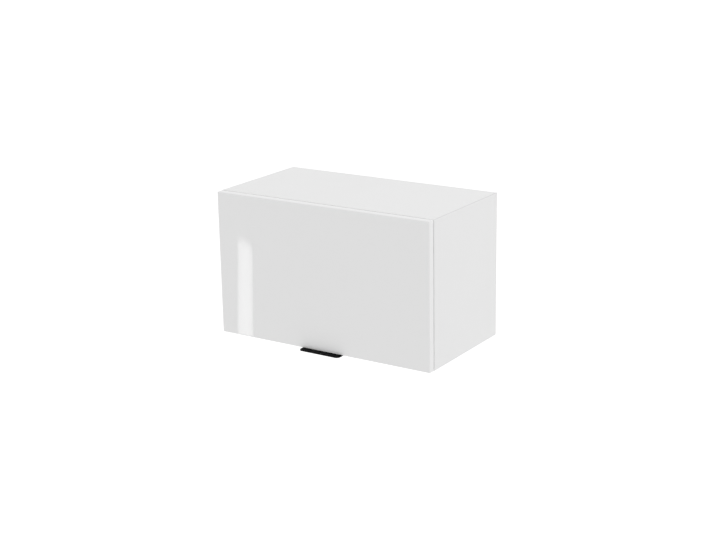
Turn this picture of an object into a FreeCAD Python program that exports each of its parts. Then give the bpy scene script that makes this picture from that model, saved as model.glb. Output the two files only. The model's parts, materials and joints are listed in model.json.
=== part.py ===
# Wall cabinet with a door that lifts up: carcass, cup hinges, lift stays, hangers and wall rail.
# Millimetres. X points right, Y points to the wall, Z points up. The origin lies on the wall plane,
# midway between the two screw slots of the wall rail.
import FreeCAD, Part
import Sketcher
import math
import os
import re

Vector = FreeCAD.Vector
Rotation = FreeCAD.Rotation

SIZES = {
    # Carcass
    "cabinet_width": 600.0,
    "cabinet_height": 360.0,
    "carcass_depth": 300.0,
    "panel": 16.0,
    "band": 0.8,
    "rail_below_top": 48.0,
    "back_inset": 17.0,
    "back_thick": 3.0,
    "groove_depth": 6.0,
    "groove_spare": 0.5,
    "groove_play": 0.1,
    # Running and seating clearances of round pieces in their holes, and the overrun of cuts
    "fit": 0.05,
    "overrun": 1.0,
    # Carcass fittings
    "cam_radius": 7.5,
    "cam_deep": 12.5,
    "cam_setback": 34.0,
    "cam_inset": 45.0,
    "cam_cap_radius": 8.5,
    "cam_cap_thick": 1.0,
    "cam_bolt_radius": 3.0,
    "cam_bolt_bite": 11.0,
    "cam_bolt_inside": 3.5,
    "dowel_radius": 4.0,
    "dowel_long": 30.0,
    "dowel_bite": 12.0,
    "dowel_pitch": 32.0,
    # Door
    "door_gap": 2.5,
    "door_thick": 18.0,
    "door_reveal": 0.1,
    "door_side_reveal": 0.1,
    "door_corner_radius": 2.0,
    "door_edge_radius": 2.5,
    "bumper_radius": 4.0,
    "bumper_thick": 2.2,
    "bumper_rise": 30.0,
    # Edge pull under the door
    "pull_width": 115.0,
    "pull_reach": 17.0,
    "pull_thick": 2.5,
    "pull_leg_thick": 2.0,
    "pull_leg_high": 20.0,
    "pull_corner_radius": 10.0,
    "pull_edge_radius": 0.6,
    "pull_screw_pitch": 96.0,
    "pull_screw_rise": 10.0,
    "pull_screw_head_radius": 3.4,
    "pull_screw_head_high": 1.6,
    # Hinges: one axle in the cup, close to the door's top edge
    "hinge_from_side": 100.0,
    "axis_depth": 11.2,
    "axis_edge": 7.1,
    "axle_radius": 1.2,
    "axle_long": 16.5,
    "cup_radius": 17.5,
    "cup_deep": 14.4,
    "cup_tab": 3.0,
    "cup_bore_spare": 0.1,
    "cup_floor": 0.6,
    "cup_pocket_wide": 11.4,
    "cup_pocket_above": 2.4,
    "cup_pocket_below": 27.0,
    "flange_thick": 1.2,
    "flange_wide": 58.0,
    "flange_high": 19.0,
    "flange_middle_wide": 30.0,
    "flange_above": 3.6,
    "flange_below": 30.0,
    "cup_screw_pitch": 46.0,
    "arm_wide": 10.8,
    "arm_high": 8.0,
    "arm_long": 50.0,
    "arm_front": 8.0,
    "arm_web": 1.5,
    "arm_cheek": 1.3,
    "eye_radius": 2.2,
    "neck_thick": 4.0,
    "neck_drop": 13.0,
    "neck_slope": 4.0,
    "neck_bend": 3.0,
    "plate_wide": 16.0,
    "plate_long": 46.0,
    "plate_front": 12.0,
    "plate_thick": 3.0,
    "wing_wide": 48.0,
    "wing_long": 13.0,
    "wing_back": 18.0,
    "wing_thick": 2.0,
    "plate_screw_pitch": 34.0,
    "arm_screw_radius": 2.5,
    "arm_screw_head_radius": 3.6,
    "arm_screw_head_high": 2.0,
    "arm_screw_spare": 0.5,
    "arm_screw_front": 12.0,
    "arm_screw_back": 34.0,
    # Small wood screws of the hinges, stays and hangers
    "screw_radius": 1.9,
    "screw_bite": 11.0,
    "screw_head_radius": 3.5,
    "screw_head_high": 2.0,
    # Lift stays: the lever keeps parallel to the line from the hinge axis to the door bracket
    "lever_length": 105.0,
    "lever_tilt": 14.0,
    "link_length": 95.0,
    "link_tilt": 23.0,
    "lever_half": 7.0,
    "lever_thick": 3.0,
    "link_half": 6.0,
    "link_thick": 3.0,
    "stay_gap": 0.5,
    "stay_thick": 16.0,
    "stay_wall": 2.0,
    "stay_cover": 1.5,
    "stay_behind": 50.0,
    "stay_before": 28.0,
    "stay_above": 24.0,
    "stay_below": 46.0,
    "stay_axle_radius": 4.0,
    "stay_boss_radius": 7.0,
    "stay_boss_long": 9.0,
    "spring_radius": 11.0,
    "spring_wall": 2.5,
    "spring_long": 8.0,
    "stay_screw_margin": 9.0,
    "pin_radius": 3.0,
    "pin_head_radius": 5.0,
    "pin_head_high": 1.5,
    "bracket_wide": 34.0,
    "bracket_high": 40.0,
    "bracket_thick": 2.5,
    "bracket_ear_half": 6.5,
    "bracket_outer_share": 0.3,
    "bracket_screw_inset": 6.0,
    "bracket_screw_pitch": 24.0,
    # Hangers and wall rail
    "rail_end_gap": 4.0,
    "rail_thick": 2.0,
    "rail_low": 16.0,
    "rail_step_rise": 8.0,
    "rail_step_out": 8.0,
    "rail_lip_top": 20.0,
    "slot_from_end": 30.0,
    "slot_length": 20.0,
    "slot_width": 7.0,
    "hook_thick": 4.0,
    "hook_over": 6.0,
    "hook_high": 14.0,
    "hook_play": 0.3,
    "hook_wall_gap": 2.5,
    "hook_inset": 8.0,
    "hook_tail": 44.0,
    "hanger_thick": 20.0,
    "hanger_long": 55.0,
    "hanger_high": 42.0,
    "hanger_drop": 1.0,
    "hanger_cap_thick": 1.5,
    "hanger_screw_inset": 8.0,
    "hanger_adjuster_radius": 2.5,
}

doc = FreeCAD.newDocument("WallCabinet")
sheet = doc.addObject("Spreadsheet::Sheet", "Sizes")
for row, (alias, size) in enumerate(SIZES.items(), start=1):
    sheet.set(f"A{row}", alias)
    sheet.set(f"B{row}", str(size))
    sheet.setAlias(f"B{row}", alias)
doc.recompute()

# Places worked out from the sizes. Depths are measured forward from the wall, so Y is their negative.
HALF_INSIDE = "(cabinet_width / 2 - panel)"
TOP = "rail_below_top"
BOTTOM = "(rail_below_top - cabinet_height)"
CEILING = "(rail_below_top - panel)"
FLOOR = f"({BOTTOM} + panel)"
BOARD_DEPTH = "(carcass_depth - band)"
BACK_FRONT = "(back_inset + back_thick)"
DOOR_BACK = "(carcass_depth + door_gap)"
DOOR_FRONT = f"({DOOR_BACK} + door_thick)"
DOOR_LOW = f"({BOTTOM} + door_reveal)"
DOOR_TOP = f"({TOP} - door_reveal)"
AXIS_AHEAD = f"({DOOR_BACK} + axis_depth)"
AXIS_RISE = f"({DOOR_TOP} - axis_edge)"
CUP_RISE = f"({DOOR_TOP} - cup_tab - cup_radius)"
LEVER_BACK = "(lever_length * sin(lever_tilt))"
LEVER_DOWN = "(lever_length * cos(lever_tilt))"
BRACKET_AHEAD = f"({AXIS_AHEAD} - {LEVER_BACK})"
BRACKET_RISE = f"({AXIS_RISE} - {LEVER_DOWN})"
STAY_AHEAD = f"({AXIS_AHEAD} - link_length * cos(link_tilt))"
STAY_RISE = f"({AXIS_RISE} - link_length * sin(link_tilt))"
ELBOW_AHEAD = f"({STAY_AHEAD} - {LEVER_BACK})"
ELBOW_RISE = f"({STAY_RISE} - {LEVER_DOWN})"
STAY_FACE = f"({HALF_INSIDE} - stay_thick - stay_cover)"
LEVER_NEAR = f"({STAY_FACE} - stay_gap - lever_thick)"
LINK_NEAR = f"({LEVER_NEAR} - stay_gap - link_thick)"
HINGE_X = "(cabinet_width / 2 - hinge_from_side)"
RAIL_HALF = f"({HALF_INSIDE} - rail_end_gap)"
HOOK_TOP = "(rail_lip_top + hook_over)"
HOOK_NEAR = f"({HALF_INSIDE} - hook_inset - hook_thick)"

FUNCTIONS = ("sin", "cos")
TURNS = {
    "+X": Rotation(Vector(0, 1, 0), 90),
    "-X": Rotation(Vector(0, 1, 0), -90),
    "+Y": Rotation(Vector(1, 0, 0), -90),
    "-Y": Rotation(Vector(1, 0, 0), 90),
    "+Z": Rotation(),
    "-Z": Rotation(Vector(1, 0, 0), 180),
}
OPPOSITE = {"+X": "-X", "-X": "+X", "+Y": "-Y", "-Y": "+Y", "+Z": "-Z", "-Z": "+Z"}
SIDES = {"left": -1, "right": 1}
nodes = {}


def cell(match):
    """Name of the sheet's cell for a word of an expression; functions stay as they are."""
    word = match.group()
    return word if word in FUNCTIONS else "Sizes." + word


def bind(obj, prop, text):
    """Ties a property to the sheet through an expression written in the sheet's words."""
    obj.setExpression(prop, re.sub("[a-z_]+", cell, text))


def place(obj, point, turn=None):
    """Puts an object at a point whose three coordinates are expressions."""
    if turn is not None:
        obj.Placement = FreeCAD.Placement(Vector(), turn)
    for axis, text in zip("xyz", point):
        bind(obj, f"Placement.Base.{axis}", text)
    return obj


def behind(depth):
    """Y coordinate of a depth that is measured forward from the wall."""
    return f"(-{depth})"


def span(side, near, thick):
    """X span of a piece that starts at the distance near from the middle plane."""
    low = near if side > 0 else f"(-({near} + {thick}))"
    return low, thick


def mid_x(side, distance):
    """X coordinate of a point at a distance from the middle plane."""
    return distance if side > 0 else f"(-{distance})"


def outward(side):
    """Direction from the middle plane to the named side."""
    return "+X" if side > 0 else "-X"


def block(name, x, y, z):
    """Box from three spans, each a low corner and a size."""
    box = doc.addObject("Part::Box", name)
    for prop, size in zip(("Length", "Width", "Height"), (x[1], y[1], z[1])):
        bind(box, prop, size)
    return place(box, (x[0], y[0], z[0]))


def rod(name, way, point, radius, length):
    """Cylinder that starts at a point and runs one way along an axis."""
    cylinder = doc.addObject("Part::Cylinder", name)
    bind(cylinder, "Radius", radius)
    bind(cylinder, "Height", length)
    return place(cylinder, point, TURNS[way])


def join(name, pieces):
    """Fusion of overlapping or touching pieces into one solid."""
    fusion = doc.addObject("Part::MultiFuse", name)
    fusion.Shapes = pieces
    fusion.Refine = True
    return fusion


def group(name, pieces):
    """Several separate solids kept as one object."""
    compound = doc.addObject("Part::Compound", name)
    compound.Links = pieces
    return compound


def cut(name, base, tools):
    """A base with all the tools taken away from it."""
    result = doc.addObject("Part::Cut", name)
    result.Base = base
    result.Tool = tools[0] if len(tools) == 1 else join(name + "_tools", tools)
    return result


def node(name, obj):
    """Registers a finished piece under its own name."""
    obj.Label = name
    nodes[name] = obj
    return obj


def attach(body, sketch, role, offset):
    """Lays a sketch on one of its body's own planes, at an offset along the plane's normal."""
    for plane in body.Origin.OriginFeatures:
        if plane.Role == role:
            sketch.AttachmentSupport = [(plane, "")]
    sketch.MapMode = "FlatFace"
    bind(sketch, "AttachmentOffset.Base.z", offset)


def pad_outline(name, role, offset, points, length):
    """Body with one closed outline of straight lines, padded along its plane's normal."""
    body = doc.addObject("PartDesign::Body", name)
    sketch = body.newObject("Sketcher::SketchObject", name + "_outline")
    attach(body, sketch, role, offset)
    count = len(points)
    turn = [2 * math.pi * i / count for i in range(count + 1)]
    ring = [Vector(math.cos(a), math.sin(a), 0) for a in turn]
    for i in range(count):
        sketch.addGeometry(Part.LineSegment(ring[i], ring[i + 1]))
    for i in range(count):
        sketch.addConstraint(Sketcher.Constraint("Coincident", i, 2, (i + 1) % count, 1))
    for i, point in enumerate(points):
        for kind, start, text in zip(("DistanceX", "DistanceY"), (ring[i].x, ring[i].y), point):
            index = sketch.addConstraint(Sketcher.Constraint(kind, -1, 1, i, 1, start))
            bind(sketch, f"Constraints[{index}]", text)
    pad = body.newObject("PartDesign::Pad", name + "_pad")
    pad.Profile = sketch
    bind(pad, "Length", length)
    body.Tip = pad
    doc.recompute()
    return body


def round_off(body, name, radius, chosen):
    """Fillets the edges of a body's last feature that a test picks."""
    base = body.Tip
    picked = [f"Edge{i}" for i, edge in enumerate(base.Shape.Edges, start=1) if chosen(edge)]
    fillet = body.newObject("PartDesign::Fillet", name)
    fillet.Base = (base, picked)
    bind(fillet, "Radius", radius)
    body.Tip = fillet
    doc.recompute()
    return body


def runs_along(edge, axis):
    """Whether a straight edge is parallel to one axis."""
    if not isinstance(edge.Curve, Part.Line):
        return False
    return abs(abs(edge.Curve.Direction.dot(axis)) - 1) < 1e-6


def screw(name, way, seat, shank, bite, head_radius="screw_head_radius", head_high="screw_head_high"):
    """Screw whose head rests at the seat and whose shank runs one way from it."""
    head = rod(name + "_head", OPPOSITE[way], seat, head_radius, head_high)
    stem = rod(name + "_shank", way, seat, shank, bite)
    return join(name, [head, stem])


def hole(name, way, seat, radius, length):
    """Cutter for a round piece of a given radius, with the seating clearance."""
    return rod(name, way, seat, f"({radius} + fit)", length)


# Places of the carcass fittings, front and rear, one set at each of the four corners.
FITTING_DEPTHS = {
    "front": ("(carcass_depth - cam_inset)", "(carcass_depth - cam_inset - dowel_pitch)"),
    "rear": (f"({BACK_FRONT} + cam_inset)", f"({BACK_FRONT} + cam_inset + dowel_pitch)"),
}
LEVELS = {
    "top": (f"({TOP} - panel / 2)", CEILING, "-Z", "+Z"),
    "bottom": (f"({BOTTOM} + panel / 2)", FLOOR, "+Z", "-Z"),
}
CAM_X = f"({HALF_INSIDE} - cam_setback)"
CAM_BOLT_LONG = "(cam_setback + cam_bolt_bite - cam_bolt_inside)"


def corner_rods(tag, radius, start, length, which):
    """Rods along X at every corner of one level or one side, front and rear."""
    rods = {}
    for level, (rise, _, _, _) in LEVELS.items():
        for side_name, side in SIDES.items():
            for row, depths in FITTING_DEPTHS.items():
                point = (mid_x(side, start), behind(depths[which]), rise)
                name = f"{tag}_{level}_{side_name}_{row}"
                rods[level, side_name, row] = rod(name, outward(side), point, radius, length)
    return rods


def make_carcass_fittings():
    """Cam bolts, cam locks, caps and dowels, and the cutters that make room for them."""
    bolt_start = f"({CAM_X} + cam_bolt_inside)"
    dowel_start = f"({HALF_INSIDE} - dowel_long + dowel_bite)"
    bolts = corner_rods("cam_bolt", "cam_bolt_radius", bolt_start, CAM_BOLT_LONG, 0)
    bolt_holes = corner_rods("cam_bolt_hole", "(cam_bolt_radius + fit)", bolt_start, CAM_BOLT_LONG, 0)
    dowels = corner_rods("dowel", "dowel_radius", dowel_start, "dowel_long", 1)
    dowel_holes = corner_rods("dowel_hole", "(dowel_radius + fit)", dowel_start, "dowel_long", 1)
    locks, lock_holes, caps = [], {}, []
    for key in bolts:
        level, side_name, row = key
        _, face, into_room, into_board = LEVELS[level]
        point = (mid_x(SIDES[side_name], CAM_X), behind(FITTING_DEPTHS[row][0]), face)
        tag = f"{level}_{side_name}_{row}"
        lock = rod(f"cam_lock_{tag}_stock", into_board, point, "cam_radius", "cam_deep")
        locks.append(cut(f"cam_lock_{tag}", lock, [bolt_holes[key]]))
        lock_holes[key] = hole(f"cam_lock_hole_{tag}", into_board, point, "cam_radius", "cam_deep")
        caps.append(rod(f"cam_cap_{tag}", into_room, point, "cam_cap_radius", "cam_cap_thick"))
    node("cam_bolts", group("cam_bolts", list(bolts.values())))
    node("dowels", group("dowels", list(dowels.values())))
    node("cam_locks", group("cam_locks", locks))
    node("cam_covers", group("cam_covers", caps))
    return bolt_holes, dowel_holes, lock_holes


def make_carcass(cutters, side_holes, top_holes):
    """Two side panels, the top and bottom panels between them, the back panel and four edge bands."""
    bolt_holes, dowel_holes, lock_holes = cutters
    board_y = (behind(BOARD_DEPTH), BOARD_DEPTH)
    band_y = (behind("carcass_depth"), "band")
    groove_y = (f"(-{BACK_FRONT} - groove_play)", "(back_thick + 2 * groove_play)")
    inside = (f"(-{HALF_INSIDE})", f"(2 * {HALF_INSIDE})")
    heights = {"top": (CEILING, "panel"), "bottom": (BOTTOM, "panel")}
    for side_name, side in SIDES.items():
        board = block(f"side_{side_name}_board", span(side, HALF_INSIDE, "panel"), board_y,
                      (BOTTOM, "cabinet_height"))
        groove = block(f"side_{side_name}_groove", span(side, HALF_INSIDE, "groove_depth"), groove_y,
                       (f"({FLOOR} - groove_depth)", "(cabinet_height - 2 * panel + 2 * groove_depth)"))
        tools = [bolt_holes[k] for k in bolt_holes if k[1] == side_name]
        tools += [dowel_holes[k] for k in dowel_holes if k[1] == side_name]
        node(f"side_panel_{side_name}",
             cut(f"side_panel_{side_name}", board, [groove] + tools + side_holes[side_name]))
        node(f"edge_band_{side_name}",
             block(f"edge_band_{side_name}", span(side, HALF_INSIDE, "panel"), band_y,
                   (BOTTOM, "cabinet_height")))
    for level, height in heights.items():
        board = block(f"{level}_board", inside, board_y, height)
        low = CEILING if level == "top" else f"({FLOOR} - groove_depth)"
        groove = block(f"{level}_groove", inside, groove_y, (low, "groove_depth"))
        tools = [holes[k] for holes in (bolt_holes, dowel_holes, lock_holes) for k in holes if k[0] == level]
        extra = top_holes if level == "top" else []
        node(f"{level}_panel", cut(f"{level}_panel", board, [groove] + tools + extra))
        node(f"edge_band_{level}", block(f"edge_band_{level}", inside, band_y, height))
    reach = "(groove_depth - groove_spare)"
    sheet_board = block("back_board", (f"(-{HALF_INSIDE} - {reach})", f"(2 * {HALF_INSIDE} + 2 * {reach})"),
                        (behind(BACK_FRONT), "back_thick"),
                        (f"({FLOOR} - {reach})", f"(cabinet_height - 2 * panel + 2 * {reach})"))
    notches = [block(f"back_notch_{side_name}",
                     span(side, f"({HOOK_NEAR} - overrun)", "(hook_thick + 2 * overrun)"),
                     (f"(-{BACK_FRONT} - overrun)", "(back_thick + 2 * overrun)"),
                     (f"({HOOK_TOP} - hook_high - overrun)", "(hook_high + 2 * overrun)"))
               for side_name, side in SIDES.items()]
    node("back_panel", cut("back_panel", sheet_board, notches))


def make_wall_rail():
    """Joggled steel rail that lies flat on the wall and stands off it behind the hooks."""
    out = "(rail_step_out + rail_thick)"
    step_top = "(rail_step_rise + rail_thick)"
    outline = [("0", "(-rail_low)"), ("0", step_top), ("(-rail_step_out)", step_top),
               ("(-rail_step_out)", "rail_lip_top"), (f"(-{out})", "rail_lip_top"),
               (f"(-{out})", "rail_step_rise"), ("(-rail_thick)", "rail_step_rise"),
               ("(-rail_thick)", "(-rail_low)")]
    profile = pad_outline("rail_profile", "YZ_Plane", f"(-{RAIL_HALF})", outline, f"(2 * {RAIL_HALF})")
    slots = []
    straight = "(slot_length - slot_width)"
    through = "(rail_thick + 2 * overrun)"
    for side_name, side in SIDES.items():
        centre = mid_x(side, f"({RAIL_HALF} - slot_from_end)")
        start = behind("(rail_thick + overrun)")
        slots.append(block(f"slot_{side_name}_middle", (f"({centre} - {straight} / 2)", straight),
                           (start, through), ("(-slot_width / 2)", "slot_width")))
        for end, sign in (("near", "-"), ("far", "+")):
            point = (f"({centre} {sign} {straight} / 2)", start, "0")
            slots.append(rod(f"slot_{side_name}_{end}", "+Y", point, "(slot_width / 2)", through))
    node("wall_rail", cut("wall_rail", profile, slots))


def make_hangers():
    """Hanger in each upper rear corner: body, hook over the rail, cap and screws."""
    side_holes = {}
    all_screws = []
    body_top = f"({CEILING} - hanger_drop)"
    body_near = f"({HALF_INSIDE} - hanger_thick)"
    hook_low = f"({HOOK_TOP} - hook_high)"
    lip_out = "(rail_step_out + rail_thick + hook_play)"
    lip_in = "(rail_step_out - hook_play)"
    tail = f"({BACK_FRONT} + hook_tail)"
    outline = [(behind("hook_wall_gap"), HOOK_TOP), (behind(tail), HOOK_TOP), (behind(tail), hook_low),
               (behind(lip_out), hook_low), (behind(lip_out), "rail_lip_top"),
               (behind(lip_in), "rail_lip_top"), (behind(lip_in), hook_low),
               (behind("hook_wall_gap"), hook_low)]
    for side_name, side in SIDES.items():
        out = outward(side)
        hook_x = span(side, HOOK_NEAR, "hook_thick")
        node(f"hanger_hook_{side_name}",
             pad_outline(f"hanger_hook_{side_name}", "YZ_Plane", hook_x[0], outline, "hook_thick"))
        case = block(f"hanger_case_{side_name}", span(side, body_near, "hanger_thick"),
                     (f"(-{BACK_FRONT} - hanger_long)", "hanger_long"),
                     (f"({body_top} - hanger_high)", "hanger_high"))
        channel = block(f"hanger_channel_{side_name}",
                        span(side, f"({HOOK_NEAR} - fit)", "(hook_thick + 2 * fit)"),
                        (f"(-{BACK_FRONT} - hook_tail - fit)", "(hook_tail + fit + overrun)"),
                        (f"({hook_low} - fit)", "(hook_high + 2 * fit)"))
        low = f"({body_top} - hanger_high + hanger_screw_inset)"
        depths = (f"({BACK_FRONT} + hanger_screw_inset)",
                  f"({BACK_FRONT} + hanger_long - hanger_screw_inset)")
        seat_x = mid_x(side, f"({body_near} + screw_head_high)")
        tools = [channel]
        side_holes[side_name] = []
        for i, depth in enumerate(depths):
            seat = (seat_x, behind(depth), low)
            tag = f"hanger_screw_{side_name}_{i}"
            length = "(hanger_thick - screw_head_high + screw_bite)"
            all_screws.append(screw(tag, out, seat, "screw_radius", length))
            tools.append(hole(tag + "_bore", out, seat, "screw_radius", length))
            tools.append(hole(tag + "_sink", OPPOSITE[out], seat, "screw_head_radius",
                              "(screw_head_high + overrun)"))
            side_holes[side_name].append(hole(tag + "_pilot", out, seat, "screw_radius", length))
        point = (mid_x(side, f"({HOOK_NEAR} + hook_thick / 2)"), behind(tail),
                 f"({HOOK_TOP} - hook_high / 2)")
        length = "(hanger_long - hook_tail)"
        all_screws.append(rod(f"hanger_adjuster_{side_name}", "-Y", point, "hanger_adjuster_radius", length))
        tools.append(hole(f"hanger_adjuster_bore_{side_name}", "-Y", point, "hanger_adjuster_radius",
                          f"({length} + overrun)"))
        node(f"hanger_body_{side_name}", cut(f"hanger_body_{side_name}", case, tools))
        node(f"hanger_cover_{side_name}",
             block(f"hanger_cover_{side_name}",
                   span(side, f"({body_near} - hanger_cap_thick)", "hanger_cap_thick"),
                   (f"(-{BACK_FRONT} - hanger_long)", "hanger_long"),
                   (f"({body_top} - hanger_high)", "hanger_high")))
    node("hanger_screws", group("hanger_screws", all_screws))
    return side_holes


def hinge_arm_outline():
    """Side view of a hinge arm: a channel over its plate and a neck that hooks round to the axle."""
    top = f"({CEILING} - plate_thick)"
    low = f"({top} - arm_high)"
    neck_top = f"({AXIS_RISE} - neck_drop)"
    neck_low = f"({neck_top} - neck_thick)"
    rear = "(carcass_depth - arm_front - arm_long)"
    front = "(carcass_depth - arm_front)"
    leg_in = f"({AXIS_AHEAD} - neck_thick / 2)"
    leg_out = f"({AXIS_AHEAD} + neck_thick / 2)"
    sloped = f"({front} + neck_slope)"
    return [(behind(rear), top), (behind(front), top), (behind(sloped), neck_top),
            (behind(leg_in), neck_top), (behind(leg_in), AXIS_RISE), (behind(leg_out), AXIS_RISE),
            (behind(leg_out), neck_low), (behind(sloped), neck_low), (behind(front), low),
            (behind(rear), low)]


def make_hinges():
    """Two cup hinges: cup and axle in the door, arm on a plate under the top panel, and their screws."""
    axles, cup_screws, plate_screws, arm_screws = [], [], [], []
    door_holes, top_holes = [], []
    plate_low = f"({CEILING} - plate_thick)"
    wing_low = f"({CEILING} - wing_thick)"
    for side_name, side in SIDES.items():
        x = mid_x(side, HINGE_X)
        axle_point = (f"({x} - axle_long / 2)", behind(AXIS_AHEAD), AXIS_RISE)
        axles.append(rod(f"hinge_axle_{side_name}", "+X", axle_point, "axle_radius", "axle_long"))

        cup_point = (x, behind(DOOR_BACK), CUP_RISE)
        cup = rod(f"cup_{side_name}_bowl", "-Y", cup_point, "cup_radius", "cup_deep")
        flange_y = (behind(DOOR_BACK), "flange_thick")
        wide = block(f"cup_{side_name}_flange", (f"({x} - flange_wide / 2)", "flange_wide"), flange_y,
                     (f"({CUP_RISE} - flange_high / 2)", "flange_high"))
        tall = block(f"cup_{side_name}_rim", (f"({x} - flange_middle_wide / 2)", "flange_middle_wide"),
                     flange_y, (f"({AXIS_RISE} - flange_below)", "(flange_below + flange_above)"))
        floor_depth = "(cup_deep - cup_floor)"
        pocket = block(f"cup_{side_name}_pocket",
                       (f"({x} - cup_pocket_wide / 2)", "cup_pocket_wide"),
                       (f"(-{DOOR_BACK} - {floor_depth})", f"({floor_depth} + flange_thick + overrun)"),
                       (f"({AXIS_RISE} - cup_pocket_below)", "(cup_pocket_below + cup_pocket_above)"))
        tools = [pocket, hole(f"cup_{side_name}_axle_bore", "+X", axle_point, "axle_radius", "axle_long")]
        door_holes.append(rod(f"door_cup_bore_{side_name}", "-Y", cup_point,
                              "(cup_radius + fit)", "(cup_deep + cup_bore_spare)"))
        for end, sign in (("near", "-"), ("far", "+")):
            seat = (f"({x} {sign} cup_screw_pitch / 2)", behind(f"({DOOR_BACK} - flange_thick)"), CUP_RISE)
            tag = f"cup_screw_{side_name}_{end}"
            length = "(screw_bite + flange_thick)"
            cup_screws.append(screw(tag, "-Y", seat, "screw_radius", length))
            tools.append(hole(tag + "_bore", "-Y", seat, "screw_radius", length))
            door_holes.append(hole(tag + "_pilot", "-Y", seat, "screw_radius", length))
        bowl = join(f"cup_{side_name}_stock", [cup, wide, tall])
        node(f"hinge_cup_{side_name}", cut(f"hinge_cup_{side_name}", bowl, tools))

        plate_x = (f"({x} - plate_wide / 2)", "plate_wide")
        plate = block(f"plate_{side_name}_middle", plate_x,
                      ("(-carcass_depth + plate_front)", "plate_long"), (plate_low, "plate_thick"))
        wings = block(f"plate_{side_name}_wings", (f"({x} - wing_wide / 2)", "wing_wide"),
                      ("(-carcass_depth + plate_front + wing_back)", "wing_long"), (wing_low, "wing_thick"))
        wing_mid = "(-carcass_depth + plate_front + wing_back + wing_long / 2)"
        tools = []
        for end, sign in (("near", "-"), ("far", "+")):
            seat = (f"({x} {sign} plate_screw_pitch / 2)", wing_mid, wing_low)
            tag = f"plate_screw_{side_name}_{end}"
            length = "(screw_bite + wing_thick)"
            plate_screws.append(screw(tag, "+Z", seat, "screw_radius", length))
            tools.append(hole(tag + "_bore", "+Z", seat, "screw_radius", length))
            top_holes.append(hole(tag + "_pilot", "+Z", seat, "screw_radius", length))

        arm = pad_outline(f"arm_{side_name}_profile", "YZ_Plane", f"({x} - arm_wide / 2)",
                          hinge_arm_outline(), "arm_wide")
        round_off(arm, f"arm_{side_name}_bend", "neck_bend",
                  lambda edge: runs_along(edge, Vector(1, 0, 0)) and is_front_bottom(edge, arm))
        eye_point = (f"({x} - arm_wide / 2)", behind(AXIS_AHEAD), AXIS_RISE)
        eye = rod(f"arm_{side_name}_eye", "+X", eye_point, "eye_radius", "arm_wide")
        inner = "(arm_wide - 2 * arm_cheek)"
        web_low = f"({plate_low} - arm_high)"
        arm_screw_long = "(arm_high + plate_thick - arm_screw_spare)"
        channel = block(f"arm_{side_name}_channel", (f"({x} - {inner} / 2)", inner),
                        ("(-carcass_depth + arm_front + neck_slope)", "arm_long"),
                        (f"({web_low} + arm_web)", "(arm_high - arm_web + overrun)"))
        arm_tools = [channel, hole(f"arm_{side_name}_eye_bore", "+X", axle_point, "axle_radius", "axle_long")]
        for end, back in (("front", "arm_screw_front"), ("back", "arm_screw_back")):
            seat = (x, f"(-carcass_depth + plate_front + {back})", web_low)
            tag = f"arm_screw_{side_name}_{end}"
            arm_screws.append(screw(tag, "+Z", seat, "arm_screw_radius", arm_screw_long,
                                    "arm_screw_head_radius", "arm_screw_head_high"))
            tools.append(hole(tag + "_bore", "+Z", seat, "arm_screw_radius", arm_screw_long))
            arm_tools.append(hole(tag + "_clear", "+Z", seat, "arm_screw_radius", arm_screw_long))
        hinge_plate = join(f"plate_{side_name}_stock", [plate, wings])
        node(f"hinge_plate_{side_name}", cut(f"hinge_plate_{side_name}", hinge_plate, tools))
        arm_stock = join(f"arm_{side_name}_stock", [arm, eye])
        node(f"hinge_arm_{side_name}", cut(f"hinge_arm_{side_name}", arm_stock, arm_tools))
    node("hinge_axles", group("hinge_axles", axles))
    node("hinge_cup_screws", group("hinge_cup_screws", cup_screws))
    node("hinge_plate_screws", group("hinge_plate_screws", plate_screws))
    node("hinge_arm_screws", group("hinge_arm_screws", arm_screws))
    return door_holes, top_holes


def is_front_bottom(edge, body):
    """Whether an edge lies at the foremost and lowest line of the neck."""
    box = body.Tip.Shape.BoundBox
    lowest_front = min(v.Z for v in body.Tip.Shape.Vertexes if abs(v.Y - box.YMin) < 1e-6)
    middle = edge.CenterOfMass
    return abs(middle.y - box.YMin) < 1e-6 and abs(middle.z - lowest_front) < 1e-6


def bar(name, x, half, length, holes):
    """Flat bar with round ends along -Z from the origin, with a hole at each end."""
    plate = block(name + "_plate", x, (f"(-{half})", f"(2 * {half})"), (f"(-{length})", length))
    ends = [rod(f"{name}_end_{i}", "+X", (x[0], "0", z), half, x[1])
            for i, z in enumerate(("0", f"(-{length})"))]
    stock = join(name + "_stock", [plate] + ends)
    bores = [hole(f"{name}_bore_{i}", "+X", (f"({x[0]} - overrun)", "0", z), radius,
                  f"({x[1]} + 2 * overrun)")
             for i, (z, radius) in enumerate(zip(("0", f"(-{length})"), holes))]
    return cut(name, stock, bores)


def swing(obj, ahead, rise, angle, start):
    """Places a bar at a pivot, turned about X by an angle that is an expression."""
    obj.Placement = FreeCAD.Placement(Vector(), Rotation(Vector(1, 0, 0), start))
    bind(obj, "Placement.Base.y", behind(ahead))
    bind(obj, "Placement.Base.z", rise)
    bind(obj, "Placement.Rotation.Angle", angle)
    return obj


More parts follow.
